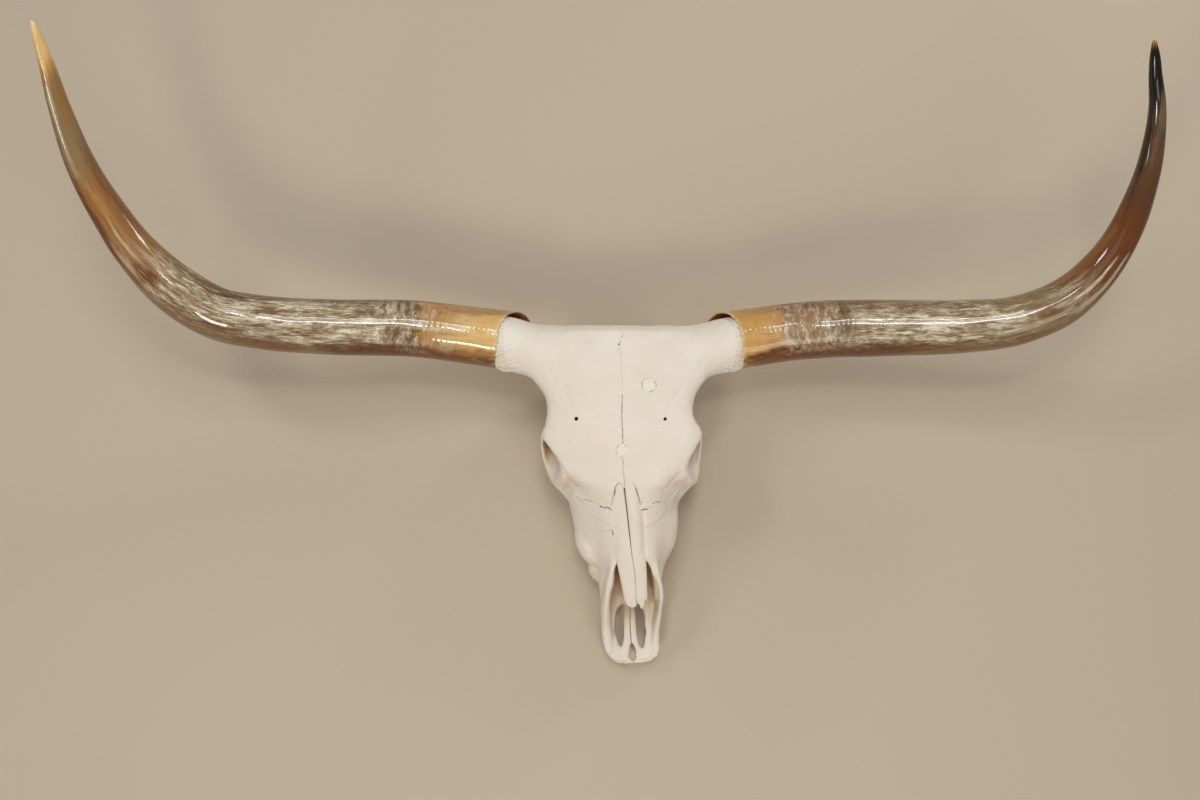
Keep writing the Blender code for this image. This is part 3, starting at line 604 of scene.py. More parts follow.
# Nasal bones as s, x of the seam between them, x of the outer edge, crest height
nasals = {
    "left": (
        (226, 0.2, 8.4, 166.5), (230, -0.3, 11.3, 166), (237, -1.2, 13.4, 165.4), (249, -2.6, 15.8, 163),
        (259, -3, 17.3, 160.4), (270, -3.2, 18.6, 157), (300, -4, 18, 149), (340, -3.3, 17, 136),
        (356, -1.5, 17, 130), (378, 0, 17.3, 121), (396, 1.2, 18, 114), (405, 3, 17.5, 110),
        (413, 3, 17.5, 107),
    ),
    "right": (
        (233, -8.8, -10.2, 166), (234.6, -6.8, -11.9, 165.8), (237, -4.6, -14.2, 165.4),
        (244, -3.1, -16.9, 163.8), (255, -3.1, -21.4, 161.3), (263, -3.2, -24.6, 159.2),
        (270, -3.2, -26.4, 157), (300, -4, -26.8, 149), (340, -3.3, -26.3, 136), (356, -1.5, -24, 130),
        (378, 0, -20, 121), (396, 1.2, -16.3, 114), (411, 2.6, -13, 108),
    ),
    "thickness": 6.0,
    "drop": 8.0,
    "breadth": 22.0,
    "rounding": 2.2,
    "leftCrown": 2.6,
    "rightCrown": 0.7,
    "width": 20.0,
    "heldTo": 343,
    # stretches of s over which the bone changes
    "crowns": (226, 262), "standsProud": (250, 275), "growsOn": (256, 268), "growsOff": (326, 344),
    "comesFree": (300, 344), "freeEdge": (326, 348), "underThins": (380, 410), "porousEnd": (392, 412),
    # how far it stands above the bone at its root, and how much more further on
    "proud": (0.2, 0.3),
    # bone further below the crest than this isn't followed; passes that even out what is
    "lostUnder": 9, "evened": 12,
    # how far down each edge is rounded over, and over what width
    "seamEdge": (1.0, 1.2), "outerEdge": (0.7, 1.3), "grownEdge": (2.2, 5.0), "freeDrop": 0.8,
    # unevenness of the top: height, size and how much it is drawn out along s
    "grain": (0.07, 7, 0.08), "swell": (0.25, 30, 1), "underThinner": 0.35,
    "lanes": 28,
    "rows": 130,
    # where each bone ends: share of the way across from the seam, and s
    "leftTip": (
        (0, 403), (0.2, 406), (0.42, 412.6), (0.6, 411), (0.7, 405), (0.78, 396), (0.86, 400), (1, 401.5),
    ),
    "rightTip": ((0, 408), (0.15, 409.6), (0.4, 410.6), (0.65, 409.5), (0.85, 406.5), (1, 401)),
    # half the gap along the seam: s and mm
    "gap": ((228, 0.15), (238, 0.4), (256, 0.75), (300, 0.75), (325, 0.35), (405, 0.28)),
}

overhead = 260  # a height above all of the bone, mm


def onTop(line):
    # Drops each place on to the bone from straight above.
    out = []
    for x, s, z in line:
        hit = boneTree.ray_cast(spot(x, s, overhead), Vector((0, 0, -1)))[0]
        out.append((x, s, toSkull([hit])[0][2] if hit is not None else z))
    return np.array(out)


def nasalLine(word, column, count, first=0):
    # The outer edge of a nasal bone, or the seam between the two, as far as it is held.
    rows = smoothRows(nasals[word], count, leading=1)
    rows = rows[(rows[:, 0] > first) & (rows[:, 0] < nasals["heldTo"])]
    line = np.column_stack([rows[:, column], rows[:, 0], rows[:, 3]])
    line[:, 0] += leanAt(line[:, 1], line[:, 2])
    return onTop(line)


nasalEdges = {word: nasalLine(word, 2, 400) for _, word in sides}
middleLine = nasalLine("left", 1, 300, first=240)

# Where the face's bones are parted: a slanting sheet across the skull that meets the floor
# at the first number and leans by the second, straying by wave
joints = {"maxilla": (172, 0.85, 0.5), "premaxilla": (408, -0.5, 0.12), "gap": 0.04}

# The slit between the two prongs of the palate: mm ahead of the premaxilla joint where it
# opens and closes, and how much it is wider than a joint on each side
palateSlit = {"opens": (14, 22), "closes": (76, 86), "half": 0.75}


def jointAt(name, x, z):
    floorS, slope, height = joints[name]
    wave = np.sin(x / 2.1) + 0.8 * np.sin(x / 1.13 + z / 3.0) + 0.7 * np.sin(z / 1.7)
    return floorS + slope * z + height * wave


# Relief and tints worked into the bone: sizes and heights in mm, places in x, s and z
relief = {
    "undulation": (48, 0.45), "unevenness": (17, 0.16), "refined": (4.4, 2.4), "reach": 4.0,
    "hornRoot": {
        "start": 130, "rim": 172, "axisS": 26, "axisZ": 141, "radius": 40, "underside": (28, 50),
        "fold": 1.5, "foldSpacing": 5.6, "foldSlope": 0.6, "crumb": 0.28, "crumbSize": 3.6,
        "tornSize": 19, "frill": 0.8, "frillDepth": 9, "frillSpacing": 3.1, "refinedPast": 11,
    },
    "seamLip": {"at": 2.4, "width": 1.2, "height": 0.1},
    "nasalEdge": {"depth": 1.1, "width": 0.9, "dark": 0.85, "closes": (254, 268), "leftOpens": (226, 244)},
    "nasalMiddle": {"depth": 3.0, "width": 1.6, "darkWidth": 2.0},
    "maxillaJoint": {"from": 215, "depth": 0.3, "width": 1.0, "dark": 0.2, "darkWidth": 0.9},
    "lip": {"s": (474, 488), "z": (30, 40), "height": 0.5, "size": 9},
    "orbitMargin": {"x": 84, "wide": 15, "s": 222, "long": 13, "z": (105, 125), "height": 0.16},
    "cheekLedge": {"x": -58, "wide": 10, "s": 362, "long": 9, "below": 75, "height": 0.9},
    "noseStain": {"from": (284, 292), "offWall": (2.0, 4.5), "roof": (114, 134), "floor": (33, 40),
                  "fades": (352, 400), "ends": (398, 446)},
    "socketShade": {"size": 1.35, "rim": (109, 114), "brow": (150, 164), "fades": (172, 204),
                    "darkFades": (158, 188)},
}


# The skin in the next functions: the places of the bone's points and their normals, how far
# each is pushed out, and its four tints
def tint(skin, name, strength):
    # Lays a tint on wherever it is stronger than what is there.
    skin[name] = np.maximum(skin[name], strength)


def frillHornRoots(skin):
    # Frilled, pitted bone where the horn cores leave the skull.
    make = relief["hornRoot"]
    places = skin["places"]
    x, s, z = places.T
    out = np.abs(x)
    grown = eased(out, make["start"], make["rim"])
    lower = eased(s, *make["underside"])
    around = make["radius"] * np.arctan2(z - make["axisZ"], s - make["axisS"])
    slant = around + make["foldSlope"] * out
    fold = ripple(np.column_stack([slant, 0.08 * out, 0.3 * slant]), make["foldSpacing"], 7, 14)
    crumb = ripple(places * (0.5, 1, 1), make["crumbSize"], 8, 14)
    torn = np.clip(0.4 + 0.9 * ripple(places, make["tornSize"], 9), 0, 1)
    skin["push"] += grown**1.3 * (0.15 + 0.85 * lower) * make["fold"] * torn * np.maximum(fold, -0.55)
    skin["push"] += grown * (0.35 + 0.65 * lower) * make["crumb"] * crumb
    frilled = eased(out, make["rim"] - make["frillDepth"], make["rim"])
    frilled *= out < make["rim"] + make["frillDepth"]
    strokes = np.sin(2 * math.pi * around / make["frillSpacing"] + 2 * ripple(places, 9, 12))
    skin["push"] += make["frill"] * frilled * (0.75 + strokes)
    tint(skin, "stainAndShade", 0.55 * frilled * np.clip(0.2 - strokes, 0, 1) * (0.3 + 0.7 * lower))
    tint(skin, "porous", grown * (0.35 + 0.65 * lower))
    tint(skin, "pale", 0.35 * grown + 0.5 * frilled)


def cutSeams(skin, lines):
    # Each seam is a groove with a low lip on both sides and dirt in it, worn here and there.
    lip = relief["seamLip"]
    for number, (seam, line) in enumerate(zip(seams.values(), lines)):
        width, depth, dark = seam[:3]
        away = distanceTo(skin["places"], line, relief["reach"])
        skin["push"] -= depth * bell(away, width)
        skin["push"] += lip["height"] * depth * bell(away - lip["at"], lip["width"])
        worn = 0.7 + 0.3 * ripple(skin["places"], 7, 60 + number)
        tint(skin, "seam", dark * worn * bell(away, 0.8 * width))


def plugRims():
    # The wavering rims of the filler plugs, laid on the bone.
    rims = []
    turn = np.linspace(0, 2 * math.pi, plugs["corners"], endpoint=False)
    for px, py, radius in plugs["at"]:
        x, s, z = onBone(px, py)
        wobble = plugs["wobble"] * (np.sin(3 * turn + px) + 0.6 * np.sin(7 * turn + py))
        reach = radius * plugs["mmPerPixel"] + wobble
        ring = [x + reach * np.cos(turn), s + reach * np.sin(turn), np.full(len(turn), z)]
        rims.append(onTop(np.column_stack(ring)))
    return rims


def setPlugs(skin, rims):
    x, s, z = skin["places"].T
    for rim in rims:
        away = distanceTo(skin["places"], rim, relief["reach"])
        worn = np.clip(0.45 + 0.8 * ripple(skin["places"], 12, 90), 0, 1)
        skin["push"] -= plugs["groove"] * worn * bell(away, plugs["grooveWidth"])
        tint(skin, "seam", 0.6 * worn * bell(away, 0.7))
        centre = rim.mean(0)
        inside = np.hypot(x - centre[0], s - centre[1]) < np.hypot(*(rim - centre)[:, :2].T).mean()
        inside &= np.abs(z - centre[2]) < 8
        skin["push"] += np.where(inside, plugs["proud"], 0)
        tint(skin, "pale", np.where(inside, 0.45, 0))


def cutNasalSeams(skin):
    # The seams round and between the nasal bones, and a shallow one over the maxilla's joint.
    _, s, z = skin["places"].T
    make = relief["nasalEdge"]
    for word, line in nasalEdges.items():
        away = distanceTo(skin["places"], line, 3.0)
        gaping = (1 - eased(s, *make["closes"])) * (eased(s, *make["leftOpens"]) if word == "left" else 1)
        skin["push"] -= make["depth"] * gaping * bell(away, make["width"])
        tint(skin, "seam", make["dark"] * gaping * bell(away, 1.0))
    make = relief["nasalMiddle"]
    away = distanceTo(skin["places"], middleLine, 3.0)
    skin["push"] -= make["depth"] * bell(away, make["width"])
    tint(skin, "seam", bell(away, make["darkWidth"]))
    make = relief["maxillaJoint"]
    away = np.abs(s - jointAt("maxilla", skin["straightX"], z))
    away = np.where(s > make["from"], away, 99)
    skin["push"] -= make["depth"] * bell(away, make["width"])
    tint(skin, "seam", make["dark"] * bell(away, make["darkWidth"]))


def pressHolesAndKnobs(skin, spots):
    places = skin["places"]
    x, s, z = places.T
    for place, (px, py, radius, depth) in zip(spots, holes):
        away = np.hypot(x - place[0], s - place[1]) + 0.25 * np.abs(z - place[2])
        away = np.where(np.abs(z - place[2]) < 14, away, 99)
        skin["push"] -= depth * (1 - eased(away, 0.35 * radius, 1.15 * radius))
        # painted shade: each hole is darkened inside with the seam tint, more the deeper it is
        tint(skin, "seam", min(1, depth / 2) * (1 - eased(away, 0.75 * radius, 1.1 * radius)))
    for width, depth, path in valleys.values():
        skin["push"] -= depth * bell(distanceTo(places, lineOnBone(path, 1.0), 12.0), width)
    for px, py, radius, height in knobs:
        away = np.linalg.norm(places - onBone(px, py), axis=1)
        skin["push"] += height * bell(away, 0.7 * radius)


def combEdges(skin):
    # Scalloped front lip, striated lower margin of the eye sockets, ledges low on the right
    # cheek swelling.
    places, straightX = skin["places"], skin["straightX"]
    _, s, z = places.T
    make = relief["lip"]
    lip = eased(s, *make["s"]) * (1 - eased(z, *make["z"]))
    skin["push"] += make["height"] * lip * ripple(places, make["size"], 77)
    make = relief["orbitMargin"]
    margin = bell(np.abs(straightX) - make["x"], make["wide"]) * bell(s - make["s"], make["long"])
    margin *= eased(z, *make["z"])
    combed = np.sin((np.abs(straightX) * 0.55 + s * 0.83) * 1.25 + 1.3 * ripple(places, 16, 21))
    skin["push"] += make["height"] * margin * combed
    tint(skin, "porous", 0.3 * margin)
    tint(skin, "stainAndShade", 0.15 * margin)
    make = relief["cheekLedge"]
    ledge = bell(straightX - make["x"], make["wide"]) * bell(s - make["s"], make["long"])
    ledge *= z < make["below"]
    skin["push"] += make["height"] * ledge * np.sin((s + 0.5 * straightX) * 0.95 + ripple(places, 20, 33))
    tint(skin, "porous", ledge)
    tint(skin, "stainAndShade", 0.22 * ledge)


def stainNoseAndShadeSockets(skin):
    # Old brown stain inside the nose, and painted shade deep in the eye sockets: brown, and darker still
    # further back.
    x, s, z = skin["places"].T
    straightX = skin["straightX"]
    passage = np.array(skullBone["passage"], float)
    leftHalf, rightHalf = (np.interp(s, passage[:, 0], passage[:, column]) for column in (1, 2))
    fromWall = np.abs(straightX) - np.where(straightX > 0, leftHalf, rightHalf)
    make = relief["noseStain"]
    inNose = eased(s, *make["from"]) * (1 - eased(fromWall, *make["offWall"]))
    inNose *= (1 - eased(z, *make["roof"])) * eased(z, *make["floor"])
    inNose *= 1 - eased(skin["normals"][:, 2], 0.45, 0.85) * eased(fromWall, -3, 0)
    inNose *= (1 - 0.5 * eased(s, *make["fades"])) * (1 - 0.85 * eased(s, *make["ends"]))
    tint(skin, "stainAndShade", inNose)
    make = relief["socketShade"]
    # painted shade in the eye sockets, laid on with the stain and seam tints
    for side, _ in sides:
        for (bx, bs, bz), (rx, rs, rz) in skullBone["eyeSocket"]:
            deep = ((x - side * bx) / rx) ** 2 + ((s - bs) / rs) ** 2 + ((z - bz) / rz) ** 2
            inSocket = (deep < make["size"]) * (1 - eased(np.abs(x), *make["rim"]))
            inSocket *= 1 - eased(z, *make["brow"])
            tint(skin, "stainAndShade", inSocket * (1 - 0.9 * eased(s, *make["fades"])))
            tint(skin, "seam", 0.5 * inSocket * (1 - eased(s, *make["darkFades"])))


def sculpt(bone):
    mesh = bone.data
    root = relief["hornRoot"]
    lines = [strayed(lineOnBone(seam[4]), seam[3], k) for k, seam in enumerate(seams.values())]
    rims = plugRims()
    spots = [onBone(*hole[:2]) for hole in holes]
    scatter = np.random.default_rng(5).normal(size=(30, 3))  # round each hole, so it is fine there
    marks = lines + rims + list(nasalEdges.values()) + [middleLine] + [at + scatter for at in spots]
    marks = np.concatenate(marks)
    places = toSkull(pointsOf(mesh))
    out = np.abs(places[:, 0])
    rooted = places[(out > root["start"]) & (out < root["rim"] + root["refinedPast"])]
    wide, near = relief["refined"]
    refineNear(mesh, np.concatenate([marks, rooted]), wide)
    refineNear(mesh, marks, near)
    print("bone refined near its seams,", len(mesh.polygons), "faces")

    points = pointsOf(mesh)
    places = toSkull(points)
    skin = {name: np.zeros(len(points)) for name in ("push", "seam", "stainAndShade", "porous", "pale")}
    skin["places"] = places
    skin["normals"] = normalsOf(mesh)
    skin["straightX"] = places[:, 0] - leanAt(places[:, 1], places[:, 2])
    for size, height in (relief["undulation"], relief["unevenness"]):
        skin["push"] += height * ripple(places, size, size)
    frillHornRoots(skin)
    cutSeams(skin, lines)
    setPlugs(skin, rims)
    cutNasalSeams(skin)
    pressHolesAndKnobs(skin, spots)
    combEdges(skin)
    stainNoseAndShadeSockets(skin)
    setPoints(mesh, points + skin["normals"] * (skin["push"] * mm)[:, None])
    for name in ("seam", "stainAndShade", "porous", "pale"):
        setLayer(mesh, name, np.clip(skin[name], 0, 1))


sculpt(bone)
print("bone sculpted")


def cutAway(body, at, normal):
    # Takes off what lies beyond a plane and closes the cut.
    everything = body.verts[:] + body.edges[:] + body.faces[:]
    cut = bmesh.ops.bisect_plane(
        body, geom=everything, dist=1e-8, plane_co=at, plane_no=normal, clear_outer=True)
    edges = [part for part in cut["geom_cut"] if isinstance(part, bmesh.types.BMEdge) and part.is_boundary]
    bmesh.ops.triangle_fill(body, edges=edges, use_beauty=True, use_dissolve=False)


def keepLargest(body):
    unseen = set(body.verts)
    groups = []
    while unseen:
        front = [unseen.pop()]
        group = set(front)
        while front:
            for edge in front.pop().link_edges:
                for vert in edge.verts:
                    if vert in unseen:
                        unseen.discard(vert)
                        group.add(vert)
                        front.append(vert)
        groups.append(group)
    groups.sort(key=len)
    for group in groups[:-1]:
        bmesh.ops.delete(body, geom=list(group), context="VERTS")


def shiftBody(body, joint, way):
    # Straightens the muzzle and lays the joint's waving sheet flat at y = 0, or puts it back.
    for vert in body.verts:
        x, y, z = vert.co
        if way > 0:
            s = pollOnFloor[1] - y / mm
            x0 = x / mm - pollOnFloor[0] - leanAt(s, z / mm)
            vert.co = (x0 * mm, (s - jointAt(joint, x0, z / mm)) * mm, z)
        else:
            x0 = x / mm
            s = y / mm + jointAt(joint, x0, z / mm)
            vert.co = ((x0 + leanAt(s, z / mm) + pollOnFloor[0]) * mm, (pollOnFloor[1] - s) * mm, z)


def slitShift(body, way):
    for vert in body.verts:
        ahead = vert.co.y / mm
        if ahead > palateSlit["opens"][0]:
            wide = eased(ahead, *palateSlit["opens"]) * (1 - eased(ahead, *palateSlit["closes"]))
            vert.co.x += way * palateSlit["half"] * float(wide) * mm


def partedBones(bone):
    # Cranium, maxillae and premaxillae as bones of their own.
    half = joints["gap"] / 2 * mm
    pieces = {}
    front = bmesh.new()
    front.from_mesh(bone.data)
    cutAway(front, (0, 0, 0), (0, 0, -1))
    shiftBody(front, "maxilla", 1)
    back = front.copy()
    cutAway(back, (0, -half, 0), (0, 1, 0))
    keepLargest(back)
    shiftBody(back, "maxilla", -1)
    pieces["cranium"] = back
    cutAway(front, (0, half, 0), (0, -1, 0))
    shiftBody(front, "maxilla", -1)
    shiftBody(front, "premaxilla", 1)
    nose = front.copy()
    cutAway(front, (0, -half, 0), (0, 1, 0))
    cutAway(nose, (0, half, 0), (0, -1, 0))
    for name, body in (("maxilla", front), ("premaxilla", nose)):
        for side, word in sides:
            one = body.copy()
            slitShift(one, -side)
            cutAway(one, (side * half, 0, 0), (-side, 0, 0))
            slitShift(one, side)
            keepLargest(one)
            shiftBody(one, "premaxilla", -1)
            pieces[name + "_" + word] = one
        body.free()
    bpy.data.objects.remove(bone, do_unlink=True)
    return {name: objectFrom(name + "_bone", body) for name, body in pieces.items()}


bones = partedBones(bone)
for name, piece in bones.items():
    print("parted", name, len(piece.data.polygons), "faces")

# Cheek teeth from front to back: length along the row, breadth, lobes; heights in mm, with
# the tooth's share of its full size there
cheekTeeth = {
    "teeth": ((14, 13, 1), (17, 16, 1), (19, 19, 1), (24, 22, 2), (28, 23, 2), (34, 21, 2)),
    "rowFront": 343, "outerFront": 47, "outerBack": 69, "crevice": 1.6,
    "heights": ((0, 0.9), (0.5, 0.96), (3, 0.99), (9, 1.0), (18, 0.985), (27, 0.96), (36, 0.9)),
    "squareness": 0.6, "rib": 0.07, "pinch": 0.13, "around": 64,
}


def toothRing(side, at, tooth, height, swell):
    # One level of a tooth: a rounded square with ribs, pinched between its lobes.
    row = cheekTeeth
    outer, s = at
    along, breadth, lobes = tooth
    ring = []
    for k in range(row["around"]):
        angle = 2 * math.pi * k / row["around"]
        waist = math.cos(angle) ** 8 * row["pinch"] * (lobes - 1)
        ribs = row["rib"] * math.cos(6 * lobes * angle) * abs(math.cos(angle))
        reachX = breadth / 2 * swell * (1 - waist + ribs - row["rib"])
        reachS = (along - row["crevice"]) / 2 * swell
        across = math.copysign(abs(math.cos(angle)) ** row["squareness"], math.cos(angle))
        forward = math.copysign(abs(math.sin(angle)) ** row["squareness"], math.sin(angle))
        x = side * (outer - breadth / 2 + reachX * across)
        ring.append(spot(x, s - along / 2 + reachS * forward, height))
    return ring


def toothShells(side):
    row = cheekTeeth
    shells = bmesh.new()
    s = row["rowFront"]
    length = sum(tooth[0] for tooth in row["teeth"])
    for tooth in row["teeth"]:
        share = (row["rowFront"] - s + tooth[0] / 2) / length
        outer = row["outerFront"] + (row["outerBack"] - row["outerFront"]) * share
        rings = [toothRing(side, (outer, s), tooth, height, swell) for height, swell in row["heights"]]
        addSkin(shells, rings)
        s -= tooth[0]
    for vert in shells.verts:
        place = toSkull([vert.co])[0]
        vert.co.x += leanAt(place[1], place[2]) * mm
    return shells


def addTeeth(piece, side):
    teeth = objectFrom("teeth", toothShells(side))
    body = bmesh.new()
    body.from_mesh(piece.data)
    before = len(body.faces)
    body.from_mesh(teeth.data)
    body.faces.ensure_lookup_table()
    for face in body.faces[before:]:
        face.material_index = 1
    body.to_mesh(piece.data)
    body.free()
    bpy.data.objects.remove(teeth, do_unlink=True)


def meshFrom(name, places, faces):
    # A mesh from frame places, with all its faces turned outward.
    mesh = bpy.data.meshes.new(name)
    mesh.from_pydata([tuple(place) for place in places], [], faces)
    body = bmesh.new()
    body.from_mesh(mesh)
    bmesh.ops.recalc_face_normals(body, faces=body.faces)
    body.to_mesh(mesh)
    body.free()
    return mesh


def nasalTop(word, side):
    # The upper side of a nasal bone, level with the bones around it and then free.
    make = nasals
    rows = smoothRows(make[word], 300, leading=1)
    tipShare, tipS = zip(*make[word + "Tip"])
    gapS, gapWide = zip(*make["gap"])
    lanes = np.linspace(0, 1, make["lanes"])
    root = rows[0, 0]
    top = np.zeros((make["rows"], len(lanes), 3))
    for j, share in enumerate(lanes):
        s = root + (np.interp(share, tipShare, tipS) - root) * np.linspace(0, 1, make["rows"])
        seamX, edgeX, crest = (np.interp(s, rows[:, 0], rows[:, column]) for column in (1, 2, 3))
        seamX = seamX + side * np.interp(s, gapS, gapWide)
        x = seamX + share * (edgeX - seamX)
        z = crest - make["drop"] * (np.abs(x - seamX) / make["breadth"]) ** make["rounding"]
        top[:, j] = np.column_stack([x + leanAt(s, z), s, z])
    s, z = top[:, :, 1], top[:, :, 2]
    held = 1 - eased(s, *make["comesFree"])
    roof = onTop(top.reshape(-1, 3))[:, 2].reshape(held.shape)
    roof = np.where(roof > z - make["lostUnder"], roof, z - 1)
    for _ in range(make["evened"]):
        roof[1:-1] = (roof[:-2] + 2 * roof[1:-1] + roof[2:]) / 4
    crown = make[word + "Crown"] * (1 - (2 * lanes - 1) ** 2) * eased(s, *make["crowns"])
    atRoot, further = make["proud"]
    proud = atRoot + further * eased(s, *make["standsProud"])
    z[:] = (roof + proud + crown) * held + z * (1 - held)
    # its edges are rounded over, most where it has grown to its neighbours
    fromSeam, fromEdge = lanes * make["width"], (1 - lanes) * make["width"]
    grown = eased(s, *make["growsOn"]) * (1 - eased(s, *make["growsOff"]))
    free = eased(s, *make["freeEdge"])
    (seamDrop, seamWide), (drop, wide), (grownDrop, grownWide) = (
        make[name] for name in ("seamEdge", "outerEdge", "grownEdge"))
    z -= seamDrop * bell(fromSeam, seamWide)
    z -= (drop + make["freeDrop"] * free) * (1 - grown) * bell(fromEdge, wide)
    z -= grownDrop * grown * bell(fromEdge, grownWide)
    places = top.reshape(-1, 3)
    uneven = 0
    for seed, name in ((41, "grain"), (42, "swell")):
        height, size, drawn = make[name]
        uneven = uneven + height * ripple(places * (1, drawn, 1), size, seed)
    z += uneven.reshape(held.shape)
    return top


def nasalBone(word, side):
    # A long thin plate: its top, the same again lower down, and a wall round the two.
    top = nasalTop(word, side)
    under = top.copy()
    thinner = nasals["underThinner"] * eased(top[:, :, 1], *nasals["underThins"])
    under[:, :, 2] -= nasals["thickness"] * (1 - thinner)
    places = np.concatenate([top.reshape(-1, 3), under.reshape(-1, 3)])
    rows, lanes = top.shape[:2]
    below = rows * lanes
    faces = []
    for i in range(rows - 1):
        for j in range(lanes - 1):
            a = i * lanes + j
            faces.append((a, a + 1, a + lanes + 1, a + lanes))
            faces.append((below + a, below + a + lanes, below + a + lanes + 1, below + a + 1))
    rim = list(range(lanes)) + [i * lanes + lanes - 1 for i in range(1, rows)]
    rim += [(rows - 1) * lanes + j for j in range(lanes - 2, -1, -1)]
    rim += [i * lanes for i in range(rows - 2, 0, -1)]
    for a, b in zip(rim, rim[1:] + rim[:1]):
        faces.append((b, a, below + a, below + b))
    mesh = meshFrom("nasal_" + word, toFrame(places), faces)
    nought = np.zeros(len(places))
    setLayer(mesh, "seam", nought)
    setLayer(mesh, "stainAndShade", 0.7 * (np.arange(len(places)) >= below))
    setLayer(mesh, "porous", 0.5 * eased(places[:, 1], *nasals["porousEnd"]))
    setLayer(mesh, "pale", nought)
    return objectOf("nasal_" + word + "_bone", mesh)


for side, word in sides:
    addTeeth(bones["maxilla_" + word], side)
    bones["nasal_" + word] = nasalBone(word, side)
print("teeth and nasal bones made")

# Horn sheaths: x, s and radius from the mouth to the tip; the rise is a formula
hornSheaths = {
    "right": (
        (-179.4, 16.6, 43), (-300, 2, 42.5), (-424, 3, 41), (-513, 1, 39.5), (-578, -9, 38),
        (-626, -36, 36.5), (-676, -85, 30), (-707, -133, 25.2), (-734, -190, 20.2),
        (-749, -252, 14.8), (-757.3, -315, 8.6), (-760.8, -334, 5.8), (-762.6, -344.4, 2.6),
    ),
    "left": (
        (178.2, 16.8, 43), (270, 4, 43.5), (412, 3, 42), (496, 5, 39.5), (579, -1, 36),
        (631, -22, 33), (685, -78, 26), (712, -144, 20.5), (720, -210, 15), (713, -262, 11),
        (702, -291, 8.8), (695.4, -311, 6.6), (690.2, -325.6, 3.0),
    ),
    "baseHeight": 140, "riseSlope": 20, "riseCurl": 263.4, "curlPower": 2.2,
    "rings": 330, "around": 112, "mouthRadius": 43, "mouthAt": 2,
    "lipReach": {"right": 52, "left": 48}, "lipTurns": (-0.75, 0.25), "lipFade": 110,
    # the ragged rim: waves round the horn, their share and their start
    "rimJag": 0.9, "rimWaves": ((9, 1.0, 2), (23, 0.8, 0), (41, 0.5, 1)), "jagFade": 6,
    "wall": 3.2, "innerTaper": 0.1, "innerDepth": 60, "rimForward": 0.6,
    "growthRing": 0.036, "growthSpacing": 7.5, "growthDrift": 31, "growthFades": (60, 260),
    "bump": 0.17, "bumpSize": 25, "bumpAround": 30, "bumpAlong": 0.35, "bumpFadesUnder": 30,
    # how far the surface stays under the given radius, in all and at the mouth
    "under": 0.2, "slim": 0.35,
}


def hornLine(word):
    make = hornSheaths
    rows = smoothRows(make[word], make["rings"], leading=2)
    steps = np.hypot(*np.diff(rows[:, :2], axis=0).T)
    share = np.concatenate([[0.0], np.cumsum(steps)]) / steps.sum()
    z = make["baseHeight"] + make["riseSlope"] * share + make["riseCurl"] * share ** make["curlPower"]
    centre = np.column_stack([rows[:, 0], rows[:, 1], z])
    run = np.concatenate([[0.0], np.cumsum(np.linalg.norm(np.diff(centre, axis=0), axis=1))])
    return centre, rows[:, 2], run


